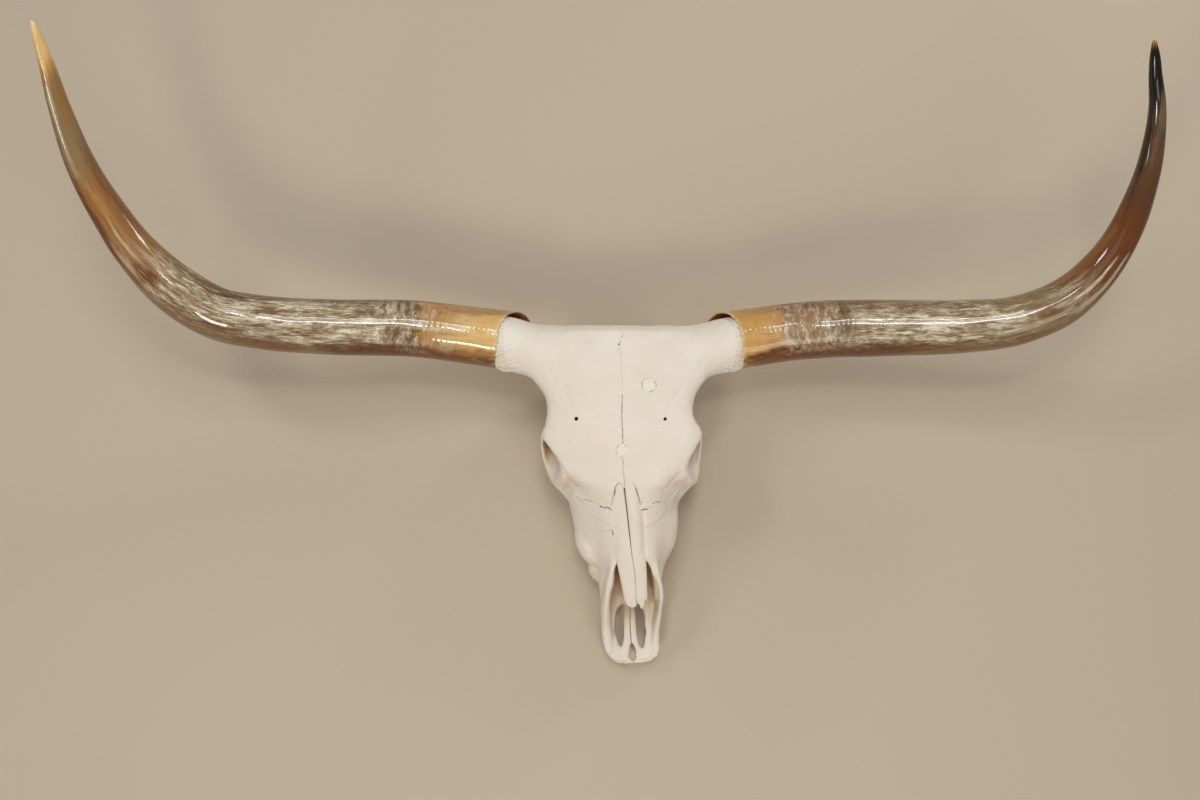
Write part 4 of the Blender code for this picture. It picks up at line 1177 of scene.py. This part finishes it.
def hornSheath(word, side):
    # The sheath as rings from deep in its mouth, over the rim and out to the tip. Its points
    # come back with their mm from the mouth, turn round the horn and whether they are inside.
    make = hornSheaths
    centre, radii, run = hornLine(word)
    middle = toFrame(centre) / mm
    ahead = np.gradient(middle, axis=0)
    ahead /= np.linalg.norm(ahead, axis=1)[:, None]
    level = np.cross(ahead, (0, 0, 1.0))
    level /= np.linalg.norm(level, axis=1)[:, None]
    upright = np.cross(level, ahead)
    count = make["around"]
    turn = 2 * math.pi * np.arange(count) / count
    spokes = level[:, None] * np.cos(turn)[None, :, None] + upright[:, None] * np.sin(turn)[None, :, None]
    # the mouth is cut aslant: the sheath reaches furthest in below and on the poll side
    lip = make["lipReach"][word] * (1 - spokes[:, :, 2]) / 2 * eased(spokes[:, :, 1], *make["lipTurns"])
    waves = sum(share * np.sin(times * turn + start) for times, share, start in make["rimWaves"])
    jag = make["rimJag"] * waves / 2
    bumpRing = np.column_stack([np.cos(turn), np.sin(turn)]) * make["bumpAround"]

    def ringPoints(index, radius):
        ring = middle[index] + spokes[index] * radius
        fade = max(0.0, 1 - run[index] / make["lipFade"]) ** 2
        ring[:, 0] += side * (jag * math.exp(-run[index] / make["jagFade"]) - lip[index] * fade)
        return ring

    rings, along, inside = [], [], []
    for k in [k for k in range(len(run)) if run[k] < make["innerDepth"]][::-2]:
        rings.append(ringPoints(k, radii[k] - make["wall"] - make["innerTaper"] * run[k] - make["slim"]))
        along.append(run[k])
        inside.append(1.0)
    rim = ringPoints(0, radii[0] - make["wall"] / 2 - make["slim"])
    rim[:, 0] -= side * make["rimForward"]
    rings.append(rim)
    along.append(0.0)
    inside.append(0.4)
    for k in range(len(run)):
        wave = 2 * math.pi * run[k] / make["growthSpacing"] + 2 * math.sin(run[k] / make["growthDrift"])
        growth = make["growthRing"] * math.sin(wave) * (1 - eased(run[k], *make["growthFades"]))
        places = np.column_stack([bumpRing, np.full(count, run[k] * make["bumpAlong"])])
        bump = make["bump"] * ripple(places, make["bumpSize"], 11 + (side > 0))
        bump *= min(1, radii[k] / make["bumpFadesUnder"])
        radius = radii[k] * (1 - make["slim"] / make["mouthRadius"]) - make["under"] + growth + bump
        rings.append(ringPoints(k, np.minimum(radius, radii[k])[:, None]))
        along.append(run[k])
        inside.append(0.0)

    verts = np.concatenate(rings) * mm
    faces = []
    for i in range(len(rings) - 1):
        for j in range(count):
            a, b = i * count + j, i * count + (j + 1) % count
            faces.append((a, b, b + count, a + count))
    last = (len(rings) - 1) * count
    tip, before = verts[last:].mean(0), verts[last - count : last].mean(0)
    verts = np.vstack([verts, verts[:count].mean(0), tip + (tip - before) * 0.5])
    for j in range(count):
        faces.append(((j + 1) % count, j, len(verts) - 2))
        faces.append((last + j, last + (j + 1) % count, len(verts) - 1))
    mesh = meshFrom("horn_" + word, verts, faces)
    along = np.append(np.repeat(along, count), [along[0], run[-1]]) + make["mouthAt"]
    around = np.append(np.tile(turn, len(rings)), [0, 0])
    inside = np.append(np.repeat(inside, count), [1, 0])
    return objectOf("horn_" + word + "_sheath", mesh), along, around, inside


def linear(code):
    # sRGB hex colour to the linear values the shader wants.
    parts = [int(code[k : k + 2], 16) / 255 for k in (1, 3, 5)]
    return tuple(p / 12.92 if p <= 0.04045 else ((p + 0.055) / 1.055) ** 2.4 for p in parts) + (1.0,)


# Tones of horn that lie on each other in the sheaths; the mouth's tone is painted shade inside the sheath's
# mouth
hornTones = {
    "straw": "#EDDAA8", "gold": "#E0B878", "wheat": "#CE9E58", "honey": "#C08D4E",
    "amber": "#96662F", "tea": "#734826", "rosy": "#A27D5F", "ash": "#7D6244",
    "olive": "#8C744E", "chestnut": "#6C3A15", "russet": "#5A2A06", "walnut": "#5D3B21",
    "umber": "#3C2412", "black": "#140A05", "cream": "#E4D7B6", "mouth": "#80501F",
}

# How a sheath's look goes along its length: mm from the mouth, the ground tone, then how
# much cream flake, dark vein, red mottle and crosswise pattern lies on it
hornGrounds = {
    "right": (
        (0, "straw", 0.0, 0.0, 0.0, 0.0), (6, "gold", 0.0, 0.0, 0.1, 0.3),
        (50, "gold", 0.1, 0.1, 0.3, 0.7), (85, "honey", 0.35, 0.25, 0.5, 1.0),
        (114, "honey", 0.35, 0.35, 0.6, 1.0), (119, "ash", 0.6, 0.7, 0.4, 1.0),
        (160, "ash", 0.8, 0.8, 0.3, 0.8), (190, "ash", 1.0, 0.7, 0.2, 0.15),
        (300, "ash", 1.0, 0.8, 0.25, 0.0), (400, "ash", 0.7, 0.8, 0.25, 0.0),
        (450, "ash", 0.95, 0.8, 0.3, 0.0), (495, "ash", 0.8, 0.7, 0.3, 0.0),
        (525, "amber", 0.35, 0.5, 0.3, 0.0), (560, "amber", 0.08, 0.3, 0.2, 0.0),
        (640, "amber", 0.0, 0.2, 0.1, 0.0), (690, "olive", 0.0, 0.3, 0.0, 0.0),
        (745, "olive", 0.0, 0.3, 0.0, 0.0), (793, "olive", 0.0, 0.15, 0.0, 0.0),
        (809, "honey", 0.0, 0.0, 0.0, 0.0), (824, "gold", 0.0, 0.0, 0.0, 0.0),
        (850, "gold", 0.0, 0.0, 0.0, 0.0), (872, "straw", 0.0, 0.0, 0.0, 0.0),
    ),
    "left": (
        (0, "straw", 0.0, 0.0, 0.0, 0.0), (6, "wheat", 0.0, 0.1, 0.2, 0.3),
        (40, "wheat", 0.15, 0.1, 0.5, 0.8), (64, "honey", 0.2, 0.2, 0.6, 1.0),
        (68, "rosy", 0.6, 0.5, 0.8, 1.0), (110, "rosy", 0.55, 0.6, 0.9, 1.0),
        (150, "ash", 0.5, 0.8, 0.4, 0.6), (185, "ash", 0.9, 0.7, 0.2, 0.1),
        (300, "ash", 0.95, 0.6, 0.1, 0.0), (420, "olive", 0.6, 0.8, 0.15, 0.0),
        (470, "ash", 0.5, 0.7, 0.2, 0.0), (505, "tea", 0.25, 0.5, 0.2, 0.0),
        (535, "chestnut", 0.05, 0.2, 0.1, 0.0), (610, "chestnut", 0.0, 0.15, 0.05, 0.0),
        (650, "walnut", 0.0, 0.3, 0.0, 0.0), (720, "walnut", 0.05, 0.6, 0.0, 0.0),
        (765, "umber", 0.15, 0.7, 0.0, 0.0), (795, "black", 0.0, 0.2, 0.0, 0.0),
        (855, "black", 0.0, 0.0, 0.0, 0.0), (864, "honey", 0.0, 0.0, 0.0, 0.0),
    ),
}

# Soft patches: mm from the mouth, place across from the outer (-1) to the inner edge (1),
# half length in mm, half breadth, tone and strength. The dark patches along both edges are partly the horn's
# own browner edges and partly painted shade; a few pale streaks on the right horn are painted highlights.
hornPatchesAndPaintedLight = {
    "right": (
        (45, 0.95, 75, 0.35, "amber", 0.65), (60, -1.02, 95, 0.4, "russet", 0.9),
        (60, -0.6, 60, 0.25, "honey", 0.5), (78, -0.5, 15, 0.3, "cream", 0.3),
        # the straw streak at 105 mm is a painted highlight
        (105, -0.12, 60, 0.09, "straw", 0.5), (136, 0.75, 20, 0.5, "walnut", 0.6),
        (157, 0.55, 5, 0.45, "cream", 0.6), (144, 0.5, 3.5, 0.4, "cream", 0.5),
        (131, 0.6, 3, 0.45, "cream", 0.35), (140, -0.35, 24, 0.3, "walnut", 0.4),
        (190, -1.0, 90, 0.32, "russet", 0.9), (250, 1.0, 150, 0.32, "walnut", 0.8),
        (330, -1.0, 60, 0.35, "tea", 0.8), (350, -0.35, 25, 0.2, "chestnut", 0.6),
        (405, 0.98, 60, 0.4, "walnut", 0.8), (516, -0.2, 22, 0.35, "chestnut", 0.95),
        # the two cream streaks at 560 and 548 mm are painted highlights
        (560, -0.1, 40, 0.09, "cream", 0.5), (548, -0.65, 30, 0.1, "cream", 0.45),
        (590, -0.98, 80, 0.4, "russet", 0.9), (665, -0.98, 60, 0.4, "russet", 0.85),
        (735, -0.98, 60, 0.38, "russet", 0.7), (640, 0.95, 100, 0.35, "tea", 0.7),
        (800, -0.95, 40, 0.35, "amber", 0.7),
        (630, 0.0, 30, 0.22, "honey", 0.5), (715, -0.3, 70, 0.2, "cream", 0.22),
        (765, -0.3, 25, 0.3, "cream", 0.3), (765, 0.6, 35, 0.5, "amber", 0.6),
    ),
    "left": (
        (60, -1.02, 90, 0.42, "russet", 0.9), (60, 0.95, 50, 0.3, "amber", 0.5),
        (35, 0.6, 30, 0.25, "honey", 0.4), (110, 0.75, 10, 0.3, "chestnut", 0.7),
        (115, 0.95, 40, 0.35, "chestnut", 0.5), (170, 0.95, 40, 0.45, "tea", 0.75),
        (156, 0.2, 8, 0.8, "walnut", 0.6), (200, -1.0, 80, 0.35, "russet", 0.85),
        (290, -1.0, 60, 0.3, "chestnut", 0.6), (400, -1.0, 80, 0.35, "chestnut", 0.6),
        (455, -0.1, 25, 0.25, "tea", 0.6), (487, 0.0, 22, 0.25, "tea", 0.6),
        (515, -0.15, 45, 0.08, "cream", 0.95), (525, -0.62, 45, 0.1, "cream", 0.75),
        (545, 0.9, 70, 0.3, "amber", 0.6), (590, -0.95, 70, 0.3, "umber", 0.4),
        (770, -0.25, 28, 0.42, "olive", 0.5), (735, 0.95, 70, 0.4, "black", 0.8),
        (735, -0.98, 75, 0.35, "umber", 0.9),
    ),
}

# How grounds and patches are laid on; lengths in mm
hornPaint = {
    "radius": 40,  # the patterns are laid on a horn of this radius
    # how far the borders between the grounds drift, in waves of what size, and from where on
    "drift": {"right": 7, "left": 2.5}, "driftSize": 17, "driftFrom": (20, 60),
    # ragged borders of the patches: strength, size, how much drawn out lengthwise, and seed
    "ragged": ((0.35, 16, 0.35, 3), (0.2, 6, 0.4, 4)), "patchReach": 1.3,
    # how bare of flakes a dark patch is, and how much they thin out towards the outer and the
    # inner edge, with the places across between which they do; the thinning darkens both edges, partly as
    # painted shade
    "bared": 0.85, "outerThin": 0.85, "outerFrom": (0.55, 0.95),
    "innerThin": 0.7, "innerFrom": (0.7, 1.0),
}


def setColours(mesh, name, colours):
    layer = mesh.attributes.new(name, "FLOAT_COLOR", "POINT")
    colours = np.column_stack([colours, np.ones(len(colours))])
    layer.data.foreach_set("color", colours.astype(np.float32).ravel())


def paintHorn(piece, word, along, around, inside):
    # Lays grounds, patches and the strengths of the patterns on a sheath, with painted shade along its edges
    # and inside its mouth and a few painted highlight streaks.
    mesh = piece.data
    make = hornPaint
    rows = hornGrounds[word]
    at = [row[0] for row in rows]
    grounds = np.array([linear(hornTones[row[1]])[:3] for row in rows])
    across = np.cos(around) * (1 if word == "right" else -1)
    marks = np.column_stack([along, make["radius"] * np.cos(around), make["radius"] * np.sin(around)])
    drift = make["drift"][word] * ripple(marks * (0, 1, 1), make["driftSize"], 6)
    drifted = along + drift * eased(along, *make["driftFrom"])
    tone = np.column_stack([np.interp(drifted, at, grounds[:, k]) for k in range(3)])
    ragged = sum(share * ripple(marks * (drawn, 1, 1), size, seed)
                 for share, size, drawn, seed in make["ragged"])
    bare = np.zeros(len(along))
    for place, lane, half, breadth, name, strength in hornPatchesAndPaintedLight[word]:
        reach = ((along - place) / half) ** 2 + ((across - lane) / breadth) ** 2
        share = strength * np.clip(make["patchReach"] - reach - ragged, 0, 1)[:, None]
        if name not in ("cream", "straw"):
            bare = np.maximum(bare, make["bared"] * share[:, 0])
        tone = tone * (1 - share) + np.array(linear(hornTones[name])[:3]) * share
    # painted shade: the inside of the mouth, and partly its rim, take a dark brown in place of the horn's
    # tones
    deep = np.array(linear(hornTones["mouth"])[:3])
    setColours(mesh, "tone", tone * (1 - inside)[:, None] + deep * inside[:, None])
    # the flakes thin out towards both edges and over the darker patches; the darker edges are partly painted
    # shade
    outer = 1 - make["outerThin"] * eased(-across, *make["outerFrom"])
    inner = 1 - make["innerThin"] * eased(across, *make["innerFrom"])
    thinned = outer * inner * (1 - bare)
    for column, name in enumerate(("cream", "vein", "mottle", "crosswise"), start=2):
        values = np.interp(drifted, at, [row[column] for row in rows])
        setLayer(mesh, name, values * (1 - inside) * (thinned if name == "cream" else 1))
    layer = mesh.attributes.new("hornWay", "FLOAT_VECTOR", "POINT")
    layer.data.foreach_set("vector", marks.astype(np.float32).ravel())


horns = {}
for side, word in sides:
    piece, along, around, inside = hornSheath(word, side)
    paintHorn(piece, word, along, around, inside)
    horns[word] = piece
    print("horn", word, "made,", round(along.max()), "mm along,", len(piece.data.polygons), "faces")


def addNode(tree, kind, inputs=None, output=0, ramp=None, **settings):
    # Adds a node and gives back one of its outputs; an input is a value or another's output.
    node = tree.nodes.new("ShaderNode" + kind)
    for key, value in settings.items():
        setattr(node, key, value)
    for key, value in (inputs or {}).items():
        if isinstance(value, bpy.types.NodeSocket):
            tree.links.new(value, node.inputs[key])
        else:
            node.inputs[key].default_value = value
    if ramp:
        for stop, (at, colour) in zip(node.color_ramp.elements, ramp):
            stop.position, stop.color = at, colour
    return node.outputs[output]


def spread(low, high, toLow=0.0, toHigh=1.0):
    return {"From Min": low, "From Max": high, "To Min": toLow, "To Max": toHigh}


# The Mix node's sockets by number: share, colours and result, then the two plain values
mixShare, mixUnder, mixOver, mixed = 0, 6, 7, 2
blendOne, blendOther = 2, 3
perMetre = 1000  # a pattern's scale in an object in metres is this over its size in mm


def startMaterial(name):
    material = bpy.data.materials.new(name)
    material.use_nodes = True
    tree = material.node_tree
    return material, tree, tree.nodes["Principled BSDF"]


# Bone, boiled and bleached by the sun: the eye sees a dry matt ivory, a little uneven, with
# pores under a millimetre wide, grey dirt in the seams and brown stain in the hollows; the same dark and
# brown tones also paint shade deep in the eye sockets and inside the holes
boneFinish = {
    "ivory": "#EDE5D8", "warm": "#E6DCCA", "rosy": "#E9DDD2", "chalk": "#F5F0E4",
    "dirtAndShade": "#49361F", "stainAndShade": "#AD7A3A", "poreBrown": "#A98E6C",
    "ior": 1.54, "roughness": (0.52, 0.70), "specular": 0.35,
    "cloudSize": 90, "blotchSize": 22, "grainSize": 1.3, "poreSize": 2.2,  # mm
    # bump of grain, blotches and pores: strength and depth in metres
    "grainBump": (0.22, 0.0004), "blotchBump": (0.25, 0.0012), "poreBump": (0.7, 0.001),
}


def sunBleachedBone():
    make = boneFinish
    material, tree, shader = startMaterial("sun-bleached bone")
    at = addNode(tree, "TexCoord", output="Object")
    seam, stainAndShade, porous, pale = (
        addNode(tree, "Attribute", output="Fac", attribute_name=name)
        for name in ("seam", "stainAndShade", "porous", "pale"))
    cloud = addNode(tree, "TexNoise", {"Vector": at, "Scale": perMetre / make["cloudSize"], "Detail": 3})
    blotch = addNode(tree, "TexNoise", {"Vector": at, "Scale": perMetre / make["blotchSize"],
                                        "Detail": 5, "Roughness": 0.6})
    grain = addNode(tree, "TexNoise", {"Vector": at, "Scale": perMetre / make["grainSize"],
                                       "Detail": 4, "Roughness": 0.65})
    pore = addNode(tree, "TexVoronoi", {"Vector": at, "Scale": perMetre / make["poreSize"]})

    colour = addNode(tree, "ValToRGB", {"Fac": cloud},
                     ramp=((0.35, linear(make["ivory"])), (0.68, linear(make["warm"]))))
    rosyShare = addNode(tree, "MapRange", {"Value": blotch, **spread(0.5, 0.75, 0.0, 0.6)})
    chalkShare = addNode(tree, "Math", {0: pale, 1: 0.85}, operation="MULTIPLY")
    for share, tone in ((rosyShare, "rosy"), (chalkShare, "chalk")):
        colour = addNode(tree, "Mix", {mixShare: share, mixUnder: colour, mixOver: linear(make[tone])},
                         output=mixed, data_type="RGBA")
    fleck = addNode(tree, "MapRange", {"Value": grain, **spread(0.3, 0.7, 0.93, 1.03)})
    colour = addNode(tree, "Mix", {mixShare: 1.0, mixUnder: colour, mixOver: fleck},
                     output=mixed, data_type="RGBA", blend_type="MULTIPLY")
    stainAndShadeCloud = addNode(tree, "MapRange", {"Value": blotch, **spread(0.3, 0.7, 0.65, 1.1)})
    stainAndShadeShare = addNode(tree, "Math", {0: stainAndShade, 1: stainAndShadeCloud}, operation="MULTIPLY", use_clamp=True)
    poreDark = addNode(tree, "MapRange", {"Value": pore, **spread(0.32, 0.12, 0.0, 0.35)})
    poreShare = addNode(tree, "Math", {0: poreDark, 1: porous}, operation="MULTIPLY")
    for share, tone in ((stainAndShadeShare, "stainAndShade"), (poreShare, "poreBrown"), (seam, "dirtAndShade")):
        colour = addNode(tree, "Mix", {mixShare: share, mixUnder: colour, mixOver: linear(make[tone])},
                         output=mixed, data_type="RGBA")
    tree.links.new(colour, shader.inputs["Base Color"])

    rough = addNode(tree, "MapRange", {"Value": blotch, **spread(0.3, 0.7, *make["roughness"])})
    tree.links.new(rough, shader.inputs["Roughness"])
    poreDepth = addNode(tree, "Math", {0: pore, 1: porous}, operation="MULTIPLY")
    bump = None
    for height, name in ((grain, "grainBump"), (blotch, "blotchBump"), (poreDepth, "poreBump")):
        strength, depth = make[name]
        under = {"Normal": bump} if bump else {}
        bump = addNode(tree, "Bump", {"Height": height, "Strength": strength, "Distance": depth, **under})
    tree.links.new(bump, shader.inputs["Normal"])
    shader.inputs["IOR"].default_value = make["ior"]
    shader.inputs["Specular IOR Level"].default_value = make["specular"]
    return material


# Worn cheek tooth enamel over dentine: smoother than the bone, cream with tea-brown stain
# towards the gum
toothFinish = {
    "cream": "#E4D8BF", "tea": "#7A5A36", "ior": 1.62, "roughness": 0.32,
    "stainHeights": (0.002, 0.024), "stainShares": (0.15, 0.8),  # metres above the floor
    "washesPerMetre": 220, "bump": (0.3, 0.0005),
}


def wornToothEnamel():
    make = toothFinish
    material, tree, shader = startMaterial("worn tooth enamel")
    at = addNode(tree, "TexCoord", output="Object")
    height = addNode(tree, "SeparateXYZ", {"Vector": at}, output="Z")
    tea = addNode(tree, "MapRange", {"Value": height, **spread(*make["stainHeights"], *make["stainShares"])})
    wash = addNode(tree, "TexNoise", {"Vector": at, "Scale": make["washesPerMetre"], "Detail": 4})
    share = addNode(tree, "Math", {0: tea, 1: wash}, operation="MULTIPLY", use_clamp=True)
    tones = {mixUnder: linear(make["cream"]), mixOver: linear(make["tea"])}
    colour = addNode(tree, "Mix", {mixShare: share, **tones}, output=mixed, data_type="RGBA")
    tree.links.new(colour, shader.inputs["Base Color"])
    strength, depth = make["bump"]
    bump = addNode(tree, "Bump", {"Height": wash, "Strength": strength, "Distance": depth})
    tree.links.new(bump, shader.inputs["Normal"])
    shader.inputs["Roughness"].default_value = make["roughness"]
    shader.inputs["IOR"].default_value = make["ior"]
    return material


# Horn keratin, scraped and varnished: the eye sees a hard gloss over layered fibres, amber
# where it is thin, milky flakes where its layers part, and streaks along the growth
hornFinish = {
    "flake": "#ECE4CF", "halo": "#A99675", "vein": "#4A3320", "mottle": "#7C3F1C",
    "ior": 1.55, "roughness": 0.38, "specular": 0.05, "varnish": 0.88, "varnishRoughness": 0.03,
    # pattern sizes along and across the horn, mm; the fibres are drawn coarser than the real
    # 0.1 mm tubules, so that they show
    "flakeBroad": (80, 19), "flakeFine": (21, 3.8), "crossFlake": (8, 15), "crossFine": (3.2, 6),
    "veinSize": (44, 3.2), "crossVein": (5, 16), "mottleSize": (30, 12), "fibreSize": (40, 0.8),
    # how much of the fine pattern is in the flakes, and the noise between which a mark sets in
    "fineShare": 0.58, "crossFineShare": 0.28, "mottleEdge": (0.52, 0.66), "haloEdge": (0.43, 0.51),
    "flakeEdge": (0.49, 0.59), "veinEdge": (0.53, 0.68), "bump": (0.03, 0.0005),
}


def varnishedHornKeratin(word, seed):
    make = hornFinish
    material, tree, shader = startMaterial("varnished horn keratin " + word)
    way = addNode(tree, "Attribute", output="Vector", attribute_name="hornWay")
    colour = addNode(tree, "Attribute", output="Color", attribute_name="tone")
    crosswise, cream, veined, mottled = (
        addNode(tree, "Attribute", output="Fac", attribute_name=name)
        for name in ("crosswise", "cream", "vein", "mottle"))

    def pattern(name, shift, detail=6.0, rough=0.66, twist=0.5):
        long, wide = make[name]
        laid = addNode(tree, "Mapping", {"Vector": way, "Scale": (1 / long, 1 / wide, 1 / wide),
                                         "Location": (shift + seed, shift, -shift)})
        return addNode(tree, "TexNoise", {"Vector": laid, "Scale": 1.0, "Detail": detail,
                                          "Roughness": rough, "Distortion": twist})

    def laidOn(under, tone, noise, amount):
        risen = addNode(tree, "MapRange", {"Value": noise, **spread(*make[tone + "Edge"])},
                        interpolation_type="SMOOTHSTEP")
        share = addNode(tree, "Math", {0: risen, 1: amount}, operation="MULTIPLY", use_clamp=True)
        return addNode(tree, "Mix", {mixShare: share, mixUnder: under, mixOver: linear(make[tone])},
                       output=mixed, data_type="RGBA")

    lengthwise = {mixShare: make["fineShare"], blendOne: pattern("flakeBroad", 3),
                  blendOther: pattern("flakeFine", 17, 8.0, 0.72, 0.9)}
    acrossHorn = {mixShare: make["crossFineShare"], blendOne: pattern("crossFlake", 9),
                  blendOther: pattern("crossFine", 23, 5.0, 0.7)}
    flakeLong, flakeAcross = (
        addNode(tree, "Mix", inputs, data_type="FLOAT") for inputs in (lengthwise, acrossHorn))
    flake = addNode(tree, "Mix", {mixShare: crosswise, blendOne: flakeLong, blendOther: flakeAcross},
                    data_type="FLOAT")
    vein = addNode(tree, "Mix", {mixShare: crosswise, blendOne: pattern("veinSize", 31),
                                 blendOther: pattern("crossVein", 37)}, data_type="FLOAT")
    mottle = pattern("mottleSize", 53, 7.0, 0.7, 1.2)
    for tone, noise, amount in (("mottle", mottle, mottled), ("halo", flake, cream),
                                ("flake", flake, cream), ("vein", vein, veined)):
        colour = laidOn(colour, tone, noise, amount)
    fibre = pattern("fibreSize", 71, 3.0)
    shade = addNode(tree, "MapRange", {"Value": fibre, **spread(0.3, 0.7, 0.86, 1.1)})
    colour = addNode(tree, "Mix", {mixShare: 1.0, mixUnder: colour, mixOver: shade},
                     output=mixed, data_type="RGBA", blend_type="MULTIPLY")
    tree.links.new(colour, shader.inputs["Base Color"])
    strength, depth = make["bump"]
    bump = addNode(tree, "Bump", {"Height": flake, "Strength": strength, "Distance": depth})
    tree.links.new(bump, shader.inputs["Normal"])
    shader.inputs["Roughness"].default_value = make["roughness"]
    shader.inputs["IOR"].default_value = make["ior"]
    shader.inputs["Specular IOR Level"].default_value = make["specular"]
    shader.inputs["Coat Weight"].default_value = make["varnish"]
    shader.inputs["Coat Roughness"].default_value = make["varnishRoughness"]
    return material


boneMaterial = sunBleachedBone()
toothMaterial = wornToothEnamel()
sharpFrom = math.radians(60)  # bone edges steeper than this stay crisp
for name, piece in bones.items():
    piece.data.materials.clear()
    piece.data.materials.append(boneMaterial)
    if name.startswith("maxilla"):
        piece.data.materials.append(toothMaterial)
    piece.data.shade_smooth()
    piece.data.set_sharp_from_angle(angle=sharpFrom)
    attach(piece, "root")
    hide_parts(name)
for number, (word, piece) in enumerate(horns.items()):
    piece.data.materials.append(varnishedHornKeratin(word, 13 * number))
    piece.data.shade_smooth()
    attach(piece, "root")
    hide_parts("horn_" + word)
print("materials on")

# Plain pale floor and soft studio light
studio = {
    "floor": "#C2B49F", "floorSize": 9, "floorRoughness": 0.9,
    "sky": "#F4F2EE", "skyStrength": 0.265,
    # name, place, size across and along, watts, colour, what it is turned to (straight down
    # if nothing); the window and its bright edges stand where the straight parts of the
    # horns mirror them as long streaks, the others where the curves and tips do
    "lights": (
        ("soft roof", (0.0, 0.2, 3.4), (2.6, 1.8), 11, "#FFF8EE", None),
        ("window pane", (0.05, 0.9, 3.2), (0.56, 0.66), 4.5, "#FFFFFF", None),
        ("window lower edge", (0.05, 0.42, 3.2), (0.56, 0.28), 10, "#FFFFFF", None),
        ("window upper edge", (0.05, 1.36, 3.2), (0.56, 0.22), 5.5, "#FFFFFF", None),
        ("low key", (-0.7, -1.65, 1.85), (0.45, 0.4), 12, "#FFF8EE", (0.1, 0.1, 0.2)),
        ("low fill", (0.95, -1.7, 1.6), (1.1, 0.9), 10, "#FFF8EE", (0.0, 0.0, 0.1)),
        ("right side", (1.7, 1.85, 1.15), (0.4, 0.8), 15, "#FFFFFF", (-0.3, 0.2, 0.2)),
        ("left side", (-1.45, 1.05, 2.15), (0.35, 0.5), 9, "#FFFFFF", (0.3, 0.1, 0.2)),
        ("left end", (-2.5, -0.8, 1.7), (0.3, 0.5), 6, "#FFFFFF", (-0.5, 0.2, 0.2)),
    ),
}


def layFloor():
    half = studio["floorSize"] / 2
    mesh = bpy.data.meshes.new("studio_floor")
    corners = [(-half, -half, 0), (half, -half, 0), (half, half, 0), (-half, half, 0)]
    mesh.from_pydata(corners, [], [(0, 1, 2, 3)])
    material, _, shader = startMaterial("matt floor paint")
    shader.inputs["Base Color"].default_value = linear(studio["floor"])
    shader.inputs["Roughness"].default_value = studio["floorRoughness"]
    mesh.materials.append(material)
    objectOf("studio_floor", mesh)


def hangLights():
    scene.world = bpy.data.worlds.new("studio")
    scene.world.use_nodes = True
    sky = scene.world.node_tree.nodes["Background"]
    sky.inputs["Color"].default_value = linear(studio["sky"])
    sky.inputs["Strength"].default_value = studio["skyStrength"]
    for name, at, (wide, long), watts, colour, aim in studio["lights"]:
        lamp = bpy.data.lights.new(name, "AREA")
        lamp.shape = "RECTANGLE"
        lamp.size, lamp.size_y = wide, long
        lamp.energy = watts
        lamp.color = linear(colour)[:3]
        stand = objectOf(name, lamp)
        stand.location = at
        if aim:
            stand.rotation_euler = (Vector(aim) - Vector(at)).to_track_quat("-Z", "Y").to_euler()


def standCamera():
    lens = bpy.data.cameras.new("camera")
    lens.lens = view["lens"]
    lens.sensor_width = view["sensor"]
    camera = objectOf("camera", lens)
    turned = Matrix((viewRight, viewUp, -viewAhead)).transposed().to_4x4()
    turned.translation = viewAt
    camera.matrix_world = turned
    scene.camera = camera
    scene.view_settings.view_transform = "Standard"


layFloor()
hangLights()
standCamera()
print("studio lit")
